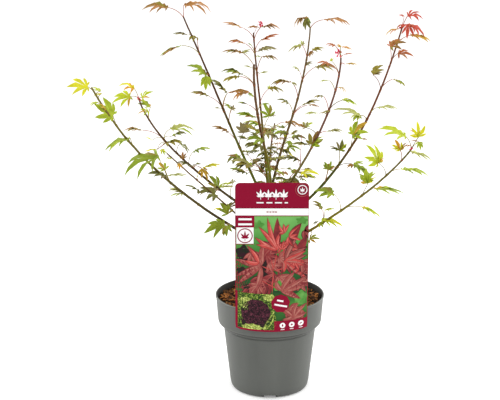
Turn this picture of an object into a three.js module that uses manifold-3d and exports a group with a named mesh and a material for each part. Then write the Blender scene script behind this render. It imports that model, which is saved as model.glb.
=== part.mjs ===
// A young palmate-leaved maple in a round nursery pot, with a printed label card hooked over the rim.
// Millimetres, +Z up. The origin is the middle of the pot's flat underside. The card faces -Y.

import * as THREE from "three";
import { mergeVertices } from "three/addons/utils/BufferGeometryUtils.js";
import Module from "manifold-3d";

const wasm = await Module();
wasm.setup();

// ---- Driving dimensions ----

const GAP = 0.35;

const POT = {
  height: 170,
  rimRadius: 95,
  wall: 2,
  collarFoot: { radius: 90.5, z: 124 },
  bodyTop: { radius: 81, z: 112 },
  bodyFoot: { radius: 69.5, z: 10 },
  floor: 3,
  footRingInner: 50,
  footRingTop: 8,
  sides: 40,
};

const FOOT_NOTCH = {
  count: 4,
  recessWidth: 38,
  recessDepth: 4,
  recessHeight: 5.5,
  slotWidth: 17,
  slotHeight: 5,
  slotLength: 18,
};

const DRAIN_HOLE = { count: 4, radius: 4.5, circle: 32, sides: 12 };

const MIX = { top: 155, edgeDrop: 2, sides: 32 };

const CARD = {
  width: 123,
  bottom: 134,
  top: 397,
  middleX: 2,
  thickness: 0.8,
  cornerRadius: 8,
  wrapRadius: POT.rimRadius + 0.7,
  wrapTop: 172,
  flatFrom: 290,
  columns: 12,
  rows: 8,
};

const TONGUE = { width: 22, thickness: 1, rootZ: 192, overZ: 175, tipZ: 159, overY: -89.5, tipY: -87.5 };

const TRUNK = {
  foot: MIX.top + GAP,
  top: 322,
  sides: 12,
  rings: 12,
  footRadius: 7.6,
  topRadius: 5.2,
  flare: 5,
  flareHeight: 7,
  graftHeight: 34,
  graftBulge: 2.2,
  graftSpan: 11,
  footLeanX: 4,
  footLeanY: 3,
  straightFrom: 225,
};

const LIMB_SIDES = 8;
const LIMB_STEP = 18;
const PATH_STEPS = 48;

// Each limb leaves the trunk's axis at its fork height and grows by its length. Its lean from upright eases
// from the foot's to the tip's, and its heading, anticlockwise from +X, turns by the sweep on the way.
// Leaves start a way up the limb and reach past its tip, in a chain of masses of the given spread.
const LIMBS = [
  { name: "far_left", fork: 256, heading: -163, sweep: 40, lean: [64, 30], ease: 1.1, length: 437,
    radius: [3.0, 1.5], leavesFrom: 128, reach: 44, masses: 3, spread: 37 },
  { name: "left", fork: 297, heading: 155, sweep: 40, lean: [76, 9], ease: 0.5, length: 341,
    radius: [2.8, 1.4], leavesFrom: 86, reach: 34, masses: 3, spread: 35 },
  { name: "thin_left", fork: 262, heading: -136, sweep: 12, lean: [48, 52], ease: 0.4, length: 309,
    radius: [1.9, 1.1], leavesFrom: 112, reach: 26, masses: 2, spread: 31 },
  { name: "top_left", fork: 318, heading: 155, sweep: 12, lean: [32, 25], ease: 3.2, length: 367,
    radius: [2.9, 1.3], leavesFrom: 104, reach: 28, masses: 3, spread: 41 },
  { name: "cut_leader", fork: 322, heading: -108, sweep: 40, lean: [-15, 35], ease: 3.9, length: 316,
    radius: [2.8, 1.9], leavesFrom: 118, reach: 0, masses: 2, spread: 33 },
  { name: "middle", fork: 310, heading: 104, sweep: 10, lean: [27, 10], ease: 0.4, length: 324,
    radius: [2.8, 1.3], leavesFrom: 104, reach: 22, masses: 3, spread: 40 },
  { name: "right_middle", fork: 322, heading: 64, sweep: 40, lean: [-3, 43], ease: 4, length: 352,
    radius: [2.9, 1.3], leavesFrom: 112, reach: 20, masses: 3, spread: 40 },
  { name: "right", fork: 318, heading: -50, sweep: 40, lean: [51, -5], ease: 0.5, length: 364,
    radius: [2.8, 1.4], leavesFrom: 112, reach: 18, masses: 3, spread: 38 },
  { name: "top_right", fork: 290, heading: 21, sweep: 4, lean: [65, 18], ease: 1.6, length: 427,
    radius: [3.0, 1.3], leavesFrom: 146, reach: 32, masses: 4, spread: 37 },
  { name: "far_right", fork: 240, heading: -28, sweep: -40, lean: [56, 35], ease: 0.4, length: 343,
    radius: [2.9, 1.4], leavesFrom: 98, reach: 40, masses: 3, spread: 38 },
  { name: "back", fork: 300, heading: 87, sweep: -13, lean: [45, 60], ease: 1.7, length: 227,
    radius: [2.5, 1.3], leavesFrom: 82, reach: 34, masses: 2, spread: 39 },
];

const MASS = { sides: 8, rings: 7, endShare: 0.3, roundness: 0.55, lobing: 0.2, waviness: 0.12 };

const COLOURS = {
  pot: 0x62625d,
  mix: 0x3d3226,
  card: 0x921b38,
  bark: 0x54382a,
  trunk: 0x5b4734,
  greenLeaf: 0x6f8430,
  bronzeLeaf: 0x8a5a2c,
};

// ---- Solids ----

const radians = THREE.MathUtils.degToRad;
const mix = THREE.MathUtils.lerp;

// A closed mesh as a manifold-3d solid.
function solidOf(geometry) {
  const bare = geometry.clone();
  bare.deleteAttribute("normal");
  bare.deleteAttribute("uv");
  const merged = mergeVertices(bare, 1e-3);
  return new wasm.Manifold(new wasm.Mesh({
    numProp: 3,
    vertProperties: merged.attributes.position.array,
    triVerts: new Uint32Array(merged.index.array),
  }));
}

// A manifold-3d solid as a geometry.
function geometryOf(solid) {
  const mesh = solid.getMesh();
  const geometry = new THREE.BufferGeometry();
  geometry.setAttribute("position", new THREE.BufferAttribute(mesh.vertProperties, 3));
  geometry.setIndex(new THREE.BufferAttribute(mesh.triVerts, 1));
  return geometry;
}

// The largest body of what is left of a solid when its neighbours are cut away.
function cutClear(solid, neighbours) {
  const left = neighbours.reduce((kept, other) => kept.subtract(other), solid);
  const bodies = left.decompose().sort((a, b) => b.volume() - a.volume());
  return bodies[0];
}

function closedMesh(points, faces) {
  const geometry = new THREE.BufferGeometry().setFromPoints(points);
  geometry.setIndex(faces);
  return geometry;
}

// A closed body through rings of points, with a flat end on the first and last ring.
function loftRings(rings) {
  const sides = rings[0].length;
  const points = rings.flat();
  const faces = [];
  for (let ring = 0; ring + 1 < rings.length; ring++) {
    for (let side = 0; side < sides; side++) {
      const next = (side + 1) % sides;
      const a = ring * sides + side;
      const b = ring * sides + next;
      faces.push(a, b, b + sides, a, b + sides, a + sides);
    }
  }
  const last = (rings.length - 1) * sides;
  for (let side = 1; side + 1 < sides; side++) {
    faces.push(0, side + 1, side);
    faces.push(last, last + side, last + side + 1);
  }
  return closedMesh(points, faces);
}

// A turned body from its profile of [radius, height] pairs.
function turned(profile, sides) {
  const points = profile.map(([radius, height]) => new THREE.Vector2(radius, height));
  return new THREE.LatheGeometry(points, sides).rotateX(Math.PI / 2);
}

// ---- Pot ----

function potProfile() {
  const { height, rimRadius, wall, collarFoot, bodyTop, bodyFoot, floor, footRingInner, footRingTop } = POT;
  const lip = 4;
  const collarTop = { radius: rimRadius - 1, z: height - lip };
  return [
    [0, 0],
    [bodyFoot.radius - 5.5, 0],
    [bodyFoot.radius - 1.6, 2.2],
    [bodyFoot.radius, bodyFoot.z],
    [bodyTop.radius, bodyTop.z],
    [collarFoot.radius, collarFoot.z],
    [collarTop.radius, collarTop.z],
    [rimRadius, height - lip + 0.8],
    [rimRadius, height - 0.8],
    [rimRadius - 0.8, height],
    [rimRadius - wall - 0.6, height],
    [collarTop.radius - wall, collarTop.z],
    [collarFoot.radius - wall, collarFoot.z + 1],
    [bodyTop.radius - wall, bodyTop.z + 1],
    [bodyFoot.radius - wall, bodyFoot.z + 3],
    [bodyFoot.radius - wall - 4, footRingTop],
    [footRingInner, footRingTop],
    [footRingInner - 5, floor],
    [0, floor],
  ];
}

// A box whose inner face stands at a distance from the axis, turned to an angle round it.
function radialBox(width, height, inner, angle) {
  const length = POT.rimRadius;
  const box = new THREE.BoxGeometry(length, width, height + 1);
  box.translate(inner + length / 2, 0, (height - 1) / 2);
  return solidOf(box.rotateZ(angle));
}

function makePot() {
  let pot = solidOf(turned(potProfile(), POT.sides));
  const outer = POT.bodyFoot.radius;
  for (let i = 0; i < FOOT_NOTCH.count; i++) {
    const angle = -Math.PI / 2 + (i * 2 * Math.PI) / FOOT_NOTCH.count;
    const { recessWidth, recessHeight, recessDepth, slotWidth, slotHeight, slotLength } = FOOT_NOTCH;
    pot = pot.subtract(radialBox(recessWidth, recessHeight, outer - recessDepth, angle));
    pot = pot.subtract(radialBox(slotWidth, slotHeight, outer - slotLength, angle));
  }
  for (let i = 0; i < DRAIN_HOLE.count; i++) {
    const angle = ((i + 0.5) * 2 * Math.PI) / DRAIN_HOLE.count;
    const hole = new THREE.CylinderGeometry(DRAIN_HOLE.radius, DRAIN_HOLE.radius, 20, DRAIN_HOLE.sides);
    hole.rotateX(Math.PI / 2);
    hole.translate(DRAIN_HOLE.circle * Math.cos(angle), DRAIN_HOLE.circle * Math.sin(angle), 0);
    pot = pot.subtract(solidOf(hole));
  }
  return geometryOf(pot);
}

// The potting mix fills the pot to a little under the rim, clear of its wall.
function makeMix() {
  const { wall, collarFoot, bodyTop, bodyFoot, floor, footRingInner, footRingTop, rimRadius } = POT;
  const inset = wall + 0.9;
  return turned([
    [0, floor + GAP],
    [footRingInner - 6, floor + GAP],
    [footRingInner - 0.5, footRingTop + GAP],
    [bodyFoot.radius - inset - 4.5, footRingTop + GAP],
    [bodyFoot.radius - inset, bodyFoot.z + 4],
    [bodyTop.radius - inset, bodyTop.z + 2],
    [collarFoot.radius - inset, collarFoot.z + 2],
    [rimRadius - 1 - inset - 1, MIX.top - MIX.edgeDrop],
    [rimRadius - 14, MIX.top],
    [0, MIX.top],
  ], MIX.sides);
}

// ---- Label card ----

// How far the card hangs back at a distance from the middle of the rim: it wraps round the rim, flat further up.
function cardSetback(x, z) {
  const wrapped = CARD.wrapRadius - Math.sqrt(CARD.wrapRadius ** 2 - x * x);
  return wrapped * (1 - THREE.MathUtils.smoothstep(z, CARD.wrapTop, CARD.flatFrom));
}

function makeCardSheet(grow = 0) {
  const { width, bottom, top, cornerRadius, columns, rows, thickness, wrapRadius, middleX } = CARD;
  const half = width / 2 + grow;
  const rings = [];
  for (let column = 0; column <= columns; column++) {
    const share = column / columns;
    const crowdedToSides = -Math.cos(share * Math.PI);
    const x = half * mix(2 * share - 1, crowdedToSides, 0.35);
    const inCorner = Math.max(0, Math.abs(x) - (half - cornerRadius));
    const drop = cornerRadius - 0.999 * Math.sqrt(cornerRadius ** 2 - inCorner ** 2);
    const front = [];
    const back = [];
    for (let row = 0; row <= rows; row++) {
      const z = mix(bottom + drop - grow, top - drop + grow, row / rows);
      const y = -wrapRadius + cardSetback(x + middleX, z);
      front.push(new THREE.Vector3(x + middleX, y - thickness - grow, z));
      back.push(new THREE.Vector3(x + middleX, y + grow, z));
    }
    rings.push([...front, ...back.reverse()]);
  }
  return solidOf(ringStrip(rings));
}

function makeCard() {
  return geometryOf(makeCardSheet().add(solidOf(makeTongue())));
}

// A thin closed sheet through rings whose points run up the front and down the back.
function ringStrip(rings) {
  const count = rings[0].length;
  const half = count / 2;
  const faces = [];
  for (let ring = 0; ring + 1 < rings.length; ring++) {
    for (let i = 0; i < count; i++) {
      const next = (i + 1) % count;
      const a = ring * count + i;
      const b = ring * count + next;
      faces.push(a, b + count, b, a, a + count, b + count);
    }
  }
  const last = (rings.length - 1) * count;
  for (let i = 0; i + 1 < half; i++) {
    const mirror = count - 1 - i;
    faces.push(i, i + 1, mirror - 1, i, mirror - 1, mirror);
    faces.push(last + i, last + mirror - 1, last + i + 1, last + i, last + mirror, last + mirror - 1);
  }
  return closedMesh(rings.flat(), faces);
}

// The tongue leaves the card's back above the rim and hooks down inside the pot.
function makeTongue() {
  const { width, thickness, rootZ, overZ, tipZ, overY, tipY } = TONGUE;
  const rootY = -CARD.wrapRadius - CARD.thickness / 2;
  const side = new THREE.Shape();
  side.moveTo(rootY, rootZ);
  side.lineTo(rootY, rootZ - 4);
  side.lineTo(overY, overZ);
  side.lineTo(tipY, tipZ);
  side.lineTo(tipY + thickness, tipZ);
  side.lineTo(overY + thickness, overZ + 1);
  side.closePath();
  const tongue = new THREE.ExtrudeGeometry(side, { depth: width, bevelEnabled: false });
  tongue.rotateX(Math.PI / 2);
  tongue.rotateZ(Math.PI / 2);
  return tongue.translate(CARD.middleX - width / 2, 0, 0);
}

// ---- Trunk and limbs ----

// The trunk's axis leans in from its foot and stands upright above the graft.
function trunkAxis(z) {
  const bend = 1 - THREE.MathUtils.smoothstep(z, TRUNK.foot, TRUNK.straightFrom);
  return new THREE.Vector3(TRUNK.footLeanX * bend, TRUNK.footLeanY * bend, z);
}

function trunkRadius(z) {
  const up = z - TRUNK.foot;
  const taper = mix(TRUNK.footRadius, TRUNK.topRadius, up / (TRUNK.top - TRUNK.foot));
  const flare = TRUNK.flare * Math.exp(-up / TRUNK.flareHeight);
  const graft = TRUNK.graftBulge * Math.exp(-(((up - TRUNK.graftHeight) / TRUNK.graftSpan) ** 2));
  return taper + flare + graft;
}

function makeTrunk(grow = 0) {
  const rings = [];
  for (let ring = 0; ring <= TRUNK.rings; ring++) {
    const share = ring / TRUNK.rings;
    const z = mix(TRUNK.foot, TRUNK.top, share ** 1.4) + (ring === TRUNK.rings ? grow : 0);
    const centre = trunkAxis(z);
    const points = [];
    for (let side = 0; side < TRUNK.sides; side++) {
      const angle = (side * 2 * Math.PI) / TRUNK.sides;
      const rootLobes = 1 + 0.22 * Math.sin(angle * 3 + 1) * Math.exp(-(z - TRUNK.foot) / TRUNK.flareHeight);
      const radius = (trunkRadius(z) + grow) * rootLobes;
      points.push(new THREE.Vector3(radius * Math.cos(angle), radius * Math.sin(angle), 0).add(centre));
    }
    rings.push(points);
  }
  return solidOf(loftRings(rings));
}

// The point and direction on a limb's centre line at a distance from its foot, straight on past its tip.
function limbCentreLine(limb) {
  const step = limb.length / PATH_STEPS;
  const stations = [];
  const place = trunkAxis(limb.fork);
  for (let i = 0; i <= PATH_STEPS; i++) {
    const share = Math.min((i + 0.5) / PATH_STEPS, 1);
    const lean = radians(mix(limb.lean[1], limb.lean[0], (1 - share) ** limb.ease));
    const heading = radians(limb.heading + limb.sweep * (share - 0.5));
    const along = new THREE.Vector3(
      Math.sin(lean) * Math.cos(heading),
      Math.sin(lean) * Math.sin(heading),
      Math.cos(lean),
    );
    stations.push({ place: place.clone(), along });
    place.addScaledVector(along, step);
  }
  return (distance) => {
    const at = Math.min(Math.max(Math.floor(distance / step), 0), PATH_STEPS);
    const { place: start, along } = stations[at];
    return { place: start.clone().addScaledVector(along, distance - at * step), along };
  };
}

// A ring of points across the limb at a station, its radius given for each angle.
function ringAcross(limb, station, sides, radiusAt) {
  const heading = radians(limb.heading);
  const level = new THREE.Vector3(-Math.sin(heading), Math.cos(heading), 0);
  const across = level.addScaledVector(station.along, -level.dot(station.along)).normalize();
  const upward = new THREE.Vector3().crossVectors(station.along, across);
  const points = [];
  for (let side = 0; side < sides; side++) {
    const angle = (side * 2 * Math.PI) / sides;
    const radius = radiusAt(angle);
    const point = station.place.clone();
    point.addScaledVector(across, radius * Math.cos(angle));
    point.addScaledVector(upward, radius * Math.sin(angle));
    points.push(point);
  }
  return points;
}

function makeLimb(limb, grow = 0) {
  const stationAt = limbCentreLine(limb);
  const end = limb.leavesFrom - GAP + grow;
  const count = Math.ceil(end / LIMB_STEP);
  const rings = [];
  for (let ring = 0; ring <= count; ring++) {
    const distance = (end * ring) / count;
    const radius = mix(limb.radius[0], limb.radius[1], distance / limb.length) + grow;
    rings.push(ringAcross(limb, stationAt(distance), LIMB_SIDES, () => radius));
  }
  return solidOf(loftRings(rings));
}

// ---- Masses of foliage ----

// A mass swells from a narrow end where its limb enters, with lobes that differ from mass to mass.
function makeMass(limb, limbIndex, massIndex, grow = 0) {
  const stationAt = limbCentreLine(limb);
  const share = (limb.length + limb.reach - limb.leavesFrom) / limb.masses;
  const from = limb.leavesFrom + share * massIndex + (massIndex > 0 ? GAP : 0) - grow;
  const to = limb.leavesFrom + share * (massIndex + 1) + grow;
  const seed = limbIndex * 2.4 + massIndex * 1.7;
  const spread = limb.spread * (1 + 0.12 * Math.sin(seed * 3.1));
  const rings = [];
  for (let ring = 0; ring <= MASS.rings; ring++) {
    const along = ring / MASS.rings;
    const swell = Math.max(Math.sin(Math.PI * along), 0) ** MASS.roundness;
    const envelope = MASS.endShare + (1 - MASS.endShare) * swell;
    const radiusAt = (angle) => {
      const lobes = MASS.lobing * Math.sin(2 * angle + seed + 2.2 * along);
      const waves = MASS.waviness * Math.sin(3 * angle - seed * 1.3 + 5 * along);
      return spread * envelope * (1 + lobes + waves) + grow;
    };
    rings.push(ringAcross(limb, stationAt(mix(from, to, along)), MASS.sides, radiusAt));
  }
  return solidOf(loftRings(rings));
}

// ---- Assembly ----

function material(colour, roughness) {
  return new THREE.MeshStandardMaterial({ color: colour, roughness, metalness: 0 });
}

const plant = new THREE.Group();

function place(name, geometry, finish) {
  const mesh = new THREE.Mesh(geometry, finish);
  mesh.name = name;
  plant.add(mesh);
}

place("pot", makePot(), material(COLOURS.pot, 0.55));
place("potting_mix", makeMix(), material(COLOURS.mix, 0.95));
place("label_card", makeCard(), material(COLOURS.card, 0.35));
place("trunk", geometryOf(makeTrunk()), material(COLOURS.trunk, 0.8));

// What each new limb and mass is cut clear of: all that stands already, grown by the gap.
const standing = [makeTrunk(GAP), makeCardSheet(GAP)];

for (const limb of LIMBS) {
  const body = cutClear(makeLimb(limb), standing);
  place(`limb_${limb.name}`, geometryOf(body), material(COLOURS.bark, 0.7));
  standing.push(makeLimb(limb, GAP));
}

LIMBS.forEach((limb, limbIndex) => {
  for (let massIndex = 0; massIndex < limb.masses; massIndex++) {
    const body = cutClear(makeMass(limb, limbIndex, massIndex), standing);
    const colour = massIndex + 1 === limb.masses ? COLOURS.bronzeLeaf : COLOURS.greenLeaf;
    place(`leaves_${limb.name}_${massIndex + 1}`, geometryOf(body), material(colour, 0.75));
    standing.push(makeMass(limb, limbIndex, massIndex, GAP));
  }
});

export default plant;
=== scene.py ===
import math
import random

import bpy
import numpy as np
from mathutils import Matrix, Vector


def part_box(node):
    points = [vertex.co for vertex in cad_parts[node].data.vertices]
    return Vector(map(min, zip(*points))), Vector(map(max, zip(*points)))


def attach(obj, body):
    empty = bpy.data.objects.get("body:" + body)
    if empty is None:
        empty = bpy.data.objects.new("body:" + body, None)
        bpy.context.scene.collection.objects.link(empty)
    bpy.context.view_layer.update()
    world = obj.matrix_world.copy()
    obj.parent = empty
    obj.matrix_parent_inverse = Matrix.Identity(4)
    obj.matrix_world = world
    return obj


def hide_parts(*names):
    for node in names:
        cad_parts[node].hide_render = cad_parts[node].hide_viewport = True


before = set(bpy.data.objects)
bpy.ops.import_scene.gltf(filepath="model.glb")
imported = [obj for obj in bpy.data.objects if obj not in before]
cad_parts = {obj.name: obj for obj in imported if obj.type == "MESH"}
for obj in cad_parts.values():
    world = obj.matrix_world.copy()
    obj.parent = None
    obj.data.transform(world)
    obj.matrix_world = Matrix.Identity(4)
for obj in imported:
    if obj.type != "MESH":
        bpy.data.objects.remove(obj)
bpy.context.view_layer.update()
bpy.ops.object.select_all(action="DESELECT")

MM = 0.001


# ---- Materials ----

class Wire:
    """An output socket of a material, so that maths on sockets reads as maths."""

    def __init__(self, finish, socket):
        self.finish = finish
        self.socket = socket

    def _maths(self, operation, first, second):
        return self.finish.node("ShaderNodeMath", {"operation": operation}, {0: first, 1: second})

    def __add__(self, other):
        return self._maths("ADD", self, other)

    def __sub__(self, other):
        return self._maths("SUBTRACT", self, other)

    def __rsub__(self, other):
        return self._maths("SUBTRACT", other, self)

    def __mul__(self, other):
        return self._maths("MULTIPLY", self, other)

    __radd__ = __add__


class Finish:
    """A named material on one Principled shader."""

    def __init__(self, name, colour, roughness, **constants):
        self.material = bpy.data.materials.new(name)
        self.material.use_nodes = True
        self.tree = self.material.node_tree
        self.shader = self.tree.nodes["Principled BSDF"]
        self.set(Base_Color=colour, Roughness=roughness, **constants)
        self.place = self.node("ShaderNodeTexCoord", output="Object")

    def _feed(self, socket, value):
        if isinstance(value, Wire):
            self.tree.links.new(value.socket, socket)
        elif socket.type == "RGBA" and len(value) == 3:
            socket.default_value = (*value, 1)
        else:
            socket.default_value = value

    def set(self, **inputs):
        for name, value in inputs.items():
            self._feed(self.shader.inputs[name.replace("_", " ")], value)

    def node(self, kind, settings=None, inputs=None, output=0):
        """Adds a node, sets its settings and then its sockets, and returns one of its outputs."""
        made = self.tree.nodes.new(kind)
        for name, value in (settings or {}).items():
            if name == "stops":
                lay_stops(made.color_ramp, value)
            else:
                setattr(made, name, value)
        for name, value in (inputs or {}).items():
            self._feed(made.inputs[name], value)
        return Wire(self, made.outputs[output])

    def noise(self, scale, detail=2.0, roughness=0.5, where=None):
        return self.node("ShaderNodeTexNoise", {}, {
            "Vector": where or self.place, "Scale": scale, "Detail": detail, "Roughness": roughness}, "Fac")

    def cells(self, scale, where=None, output="Distance"):
        return self.node("ShaderNodeTexVoronoi", {}, {"Vector": where or self.place, "Scale": scale}, output)

    def stretched(self, scale, turn=(0, 0, 0)):
        """Object coordinates, stretched along the axes."""
        return self.node("ShaderNodeMapping", {}, {
            "Vector": self.place, "Scale": scale, "Rotation": turn}, "Vector")

    def axis(self, name):
        return self.node("ShaderNodeSeparateXYZ", {}, {"Vector": self.place}, name)

    def ramp(self, value, *stops):
        return self.node("ShaderNodeValToRGB", {"stops": stops}, {"Fac": value}, "Color")

    def blend(self, share, first, second):
        """Mixes two colours by a share."""
        return self.node("ShaderNodeMix", {"data_type": "RGBA"}, {0: share, 6: first, 7: second}, 2)

    def mask(self, value, low, high):
        """0 below low, 1 above high, smooth between."""
        return self.node("ShaderNodeMapRange", {"interpolation_type": "SMOOTHSTEP"}, {
            "Value": value, "From Min": low, "From Max": high})

    def bump(self, height, strength, distance):
        self.set(Normal=self.node("ShaderNodeBump", {}, {
            "Height": height, "Strength": strength, "Distance": distance}, "Normal"))


def lay_stops(ramp, stops):
    while len(ramp.elements) < len(stops):
        ramp.elements.new(0.5)
    for element, (position, colour) in zip(ramp.elements, stops):
        element.position = position
        element.color = (*colour, 1)


def paint(red, green, blue):
    """A colour chart's 0 to 255 values as the linear colour that a shader takes."""
    def linear(value):
        value /= 255
        return value / 12.92 if value <= 0.04045 else ((value + 0.055) / 1.055) ** 2.4
    return linear(red), linear(green), linear(blue)


def shade(colour, factor):
    return tuple(min(1.0, channel * factor) for channel in colour)


# Where the pot's surface changes, in metres: bands of height, and the line between its outside and inside.
# The inside, the base's underside and a band under the collar take painted shade, and the rim's top a painted
# highlight.
WALL_MIDDLE_HEIGHT, WALL_MIDDLE_RADIUS, WALL_SLOPE = 0.1265, 0.0898, 0.084
INSIDE_EDGE, INSIDE_RISE = (-0.0004, 0.0002), (0.116, 0.12)
BASE_RADIUS, BASE_EDGE, BASE_RISE = 0.0664, (0, 0.0004), (0.006, 0.008)
FOOT_RISE = (0.004, 0.022)
CREASE_SHADE_START, CREASE_SHADE_END = (0.1094, 0.1112), (0.1134, 0.1158)
LIP_HIGHLIGHT_RISE = (0.1684, 0.1694)


def pot_plastic():
    """Matt recycled polypropylene: flow streaks down the wall, fine speckle, painted shade on the inside wall and
    under the base, darker towards the foot, painted shade in a band under the collar and a painted highlight on the
    rim's top."""
    grey = paint(84, 86, 82)
    finish = Finish("pot_plastic", grey, 0.5, Specular_IOR_Level=0.34)
    streaks = finish.noise(26, 4, 0.6, finish.stretched((1, 1, 0.10)))
    speckle = finish.noise(900, 2, 0.5)
    clouds = finish.noise(9, 3, 0.5)
    tone = finish.ramp(streaks * 0.6 + clouds * 0.4,
                       (0.3, shade(grey, 0.86)), (0.5, grey), (0.72, shade(grey, 1.12)))
    height = finish.axis("Z")
    across = finish.node("ShaderNodeVectorMath", {"operation": "MULTIPLY"}, {0: finish.place, 1: (1, 1, 0)})
    ring = finish.node("ShaderNodeVectorMath", {"operation": "LENGTH"}, {0: across}, "Value")
    wall_middle = (height - WALL_MIDDLE_HEIGHT) * WALL_SLOPE + WALL_MIDDLE_RADIUS
    # Painted shade on the inside wall above the mix.
    inside = finish.mask(wall_middle - ring, *INSIDE_EDGE) * finish.mask(height, *INSIDE_RISE)
    # Painted shade on the base's underside, where the notches show it.
    under = finish.mask(BASE_RADIUS - ring, *BASE_EDGE) * (1 - finish.mask(height, *BASE_RISE))
    # Darker towards the foot, unevenly.
    foot = 1 - finish.mask(height + finish.noise(30) * 0.01, *FOOT_RISE)
    # Painted shade in a band under the collar, where the step faces down.
    crease_shade = finish.mask(height, *CREASE_SHADE_START) * (1 - finish.mask(height, *CREASE_SHADE_END))
    # Painted highlight along the rim's top edge.
    lip_highlight = finish.mask(height, *LIP_HIGHLIGHT_RISE)
    # Darker towards the foot, and the painted shade under the collar.
    layered_colour = finish.blend(foot * 0.25 + crease_shade * 0.6, tone, shade(grey, 0.62))
    # The painted highlight on the rim's top, laid over the colour below.
    layered_colour = finish.blend(lip_highlight * 0.55, layered_colour, shade(grey, 2.1))
    # The painted shade inside and under the base: both are darkened towards a deep brown.
    finish.set(Base_Color=finish.blend(inside * 0.85 + under * 0.7, layered_colour, paint(30, 26, 22)),
               Roughness=0.46 + clouds * 0.12 + streaks * 0.08)
    finish.bump(streaks * 0.7 + speckle * 0.3, 0.16, 0.0006)
    return finish


def soil_finish(name, dark, light, scale):
    """Crumbly and dry, dark in the hollows and light on the grain."""
    dark, light = paint(*dark), paint(*light)
    finish = Finish(name, dark, 0.9, Specular_IOR_Level=0.15)
    grain = finish.noise(scale, 5, 0.65)
    finish.set(Base_Color=finish.ramp(grain, (0.34, dark), (0.66, light)))
    finish.bump(grain, 0.7, 0.0012)
    return finish


PRINT_DEPTH = 0.84
PRINT_GLOSS = {"roughness": 0.32, "Specular_IOR_Level": 0.08}


def printed(name, colour, second=None, scale=120):
    """Ink under a clear film: a faint tooth in the gloss, and a second tone where the print has one."""
    colour = shade(paint(*colour), PRINT_DEPTH)
    finish = Finish(name, colour, **PRINT_GLOSS)
    tooth = finish.noise(1500, 2)
    if second:
        second = shade(paint(*second), PRINT_DEPTH)
        finish.set(Base_Color=finish.ramp(finish.noise(scale, 4, 0.6), (0.36, colour), (0.66, second)))
    else:
        finish.set(Base_Color=finish.ramp(tooth, (0.3, shade(colour, 0.96)), (0.7, shade(colour, 1.04))))
    finish.set(Roughness=PRINT_GLOSS["roughness"] - 0.04 + tooth * 0.08)
    return finish


def picture_green(name, colour):
    """The printed garden behind the leaves: out of focus, light at the top and deep green lower down."""
    finish = Finish(name, paint(*colour), **PRINT_GLOSS)
    blur = finish.noise(30, 1.5, 0.4)
    drift = finish.axis("Z") * 8.5 + blur * 0.55
    rise = finish.node("ShaderNodeMapRange", {}, {"Value": drift, "From Min": 1.5, "From Max": 3.1})
    tones = ((28, 60, 32), (64, 122, 50), (28, 62, 34), (46, 98, 44), (76, 138, 62), (110, 172, 90))
    stops = zip((0.0, 0.22, 0.36, 0.6, 0.8, 1.0), (paint(*tone) for tone in tones))
    finish.set(Base_Color=finish.ramp(rise, *stops))
    return finish


def picture_bush(name, dark, mid, light, scale):
    """A printed bush: small leaves as flecks of light on deep shade."""
    dark, mid, light = (shade(paint(*colour), PRINT_DEPTH) for colour in (dark, mid, light))
    finish = Finish(name, mid, **PRINT_GLOSS)
    flecks = finish.cells(scale, finish.stretched((1, 1, 1.7), (0, 0.5, 0)))
    mottle = finish.noise(scale * 0.5, 3, 0.6)
    finish.set(Base_Color=finish.ramp(flecks * 0.55 + mottle * 0.6, (0.28, light), (0.46, mid), (0.66, dark)))
    return finish


def bark(name, low_colour, high_colour, low, high, scale=1.0):
    """Young bark: fine lengthwise streaks and pale pores, its colour changing with height."""
    low_colour, high_colour = paint(*low_colour), paint(*high_colour)
    finish = Finish("bark_" + name, low_colour, 0.58, Specular_IOR_Level=0.2)
    streaks = finish.noise(420 * scale, 4, 0.6, finish.stretched((1, 1, 0.16)))
    pores = finish.noise(1500 * scale, 2, 0.5)
    tone = finish.blend(finish.mask(finish.axis("Z"), low, high), low_colour, high_colour)
    layered_colour = finish.blend(finish.mask(streaks, 0.45, 0.7) * 0.35, tone, shade(high_colour, 1.5))
    finish.set(Base_Color=finish.blend(finish.mask(pores, 0.64, 0.78) * 0.25, layered_colour, paint(120, 92, 62)),
               Roughness=0.5 + streaks * 0.2)
    finish.bump(streaks * 0.8 + pores * 0.2, 0.5, 0.0005)
    return finish


def leaf_finish(name, colour, deepen=0.8, lighten=1.16):
    """A thin leaf: soft clouding from blade to blade and a fine vein grain, with a waxy bloom."""
    colour = paint(*colour)
    finish = Finish("leaf_" + name, colour, 0.5, Specular_IOR_Level=0.2)
    cloud = finish.noise(70, 2, 0.5)
    veins = finish.noise(1400, 2, 0.5)
    finish.set(Base_Color=finish.ramp(cloud * 0.7 + veins * 0.3, (0.32, shade(colour, deepen)),
                                      (0.5, colour), (0.7, shade(colour, lighten))),
               Roughness=0.44 + veins * 0.14)
    finish.bump(veins, 0.25, 0.0003)
    return finish


# ---- Modelling helpers ----

def pick_only(piece):
    bpy.ops.object.select_all(action="DESELECT")
    piece.select_set(True)
    bpy.context.view_layer.objects.active = piece


def edit_all(piece):
    pick_only(piece)
    bpy.ops.object.mode_set(mode="EDIT")
    bpy.ops.mesh.select_all(action="SELECT")


def leave_edit():
    bpy.ops.object.mode_set(mode="OBJECT")


def extrude(*offset):
    bpy.ops.mesh.extrude_region_move(TRANSFORM_OT_translate={"value": offset})


def face_outwards():
    """Turns every face of the piece being edited outwards, and leaves edit mode."""
    bpy.ops.mesh.select_all(action="SELECT")
    bpy.ops.mesh.normals_make_consistent(inside=False)
    leave_edit()


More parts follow.
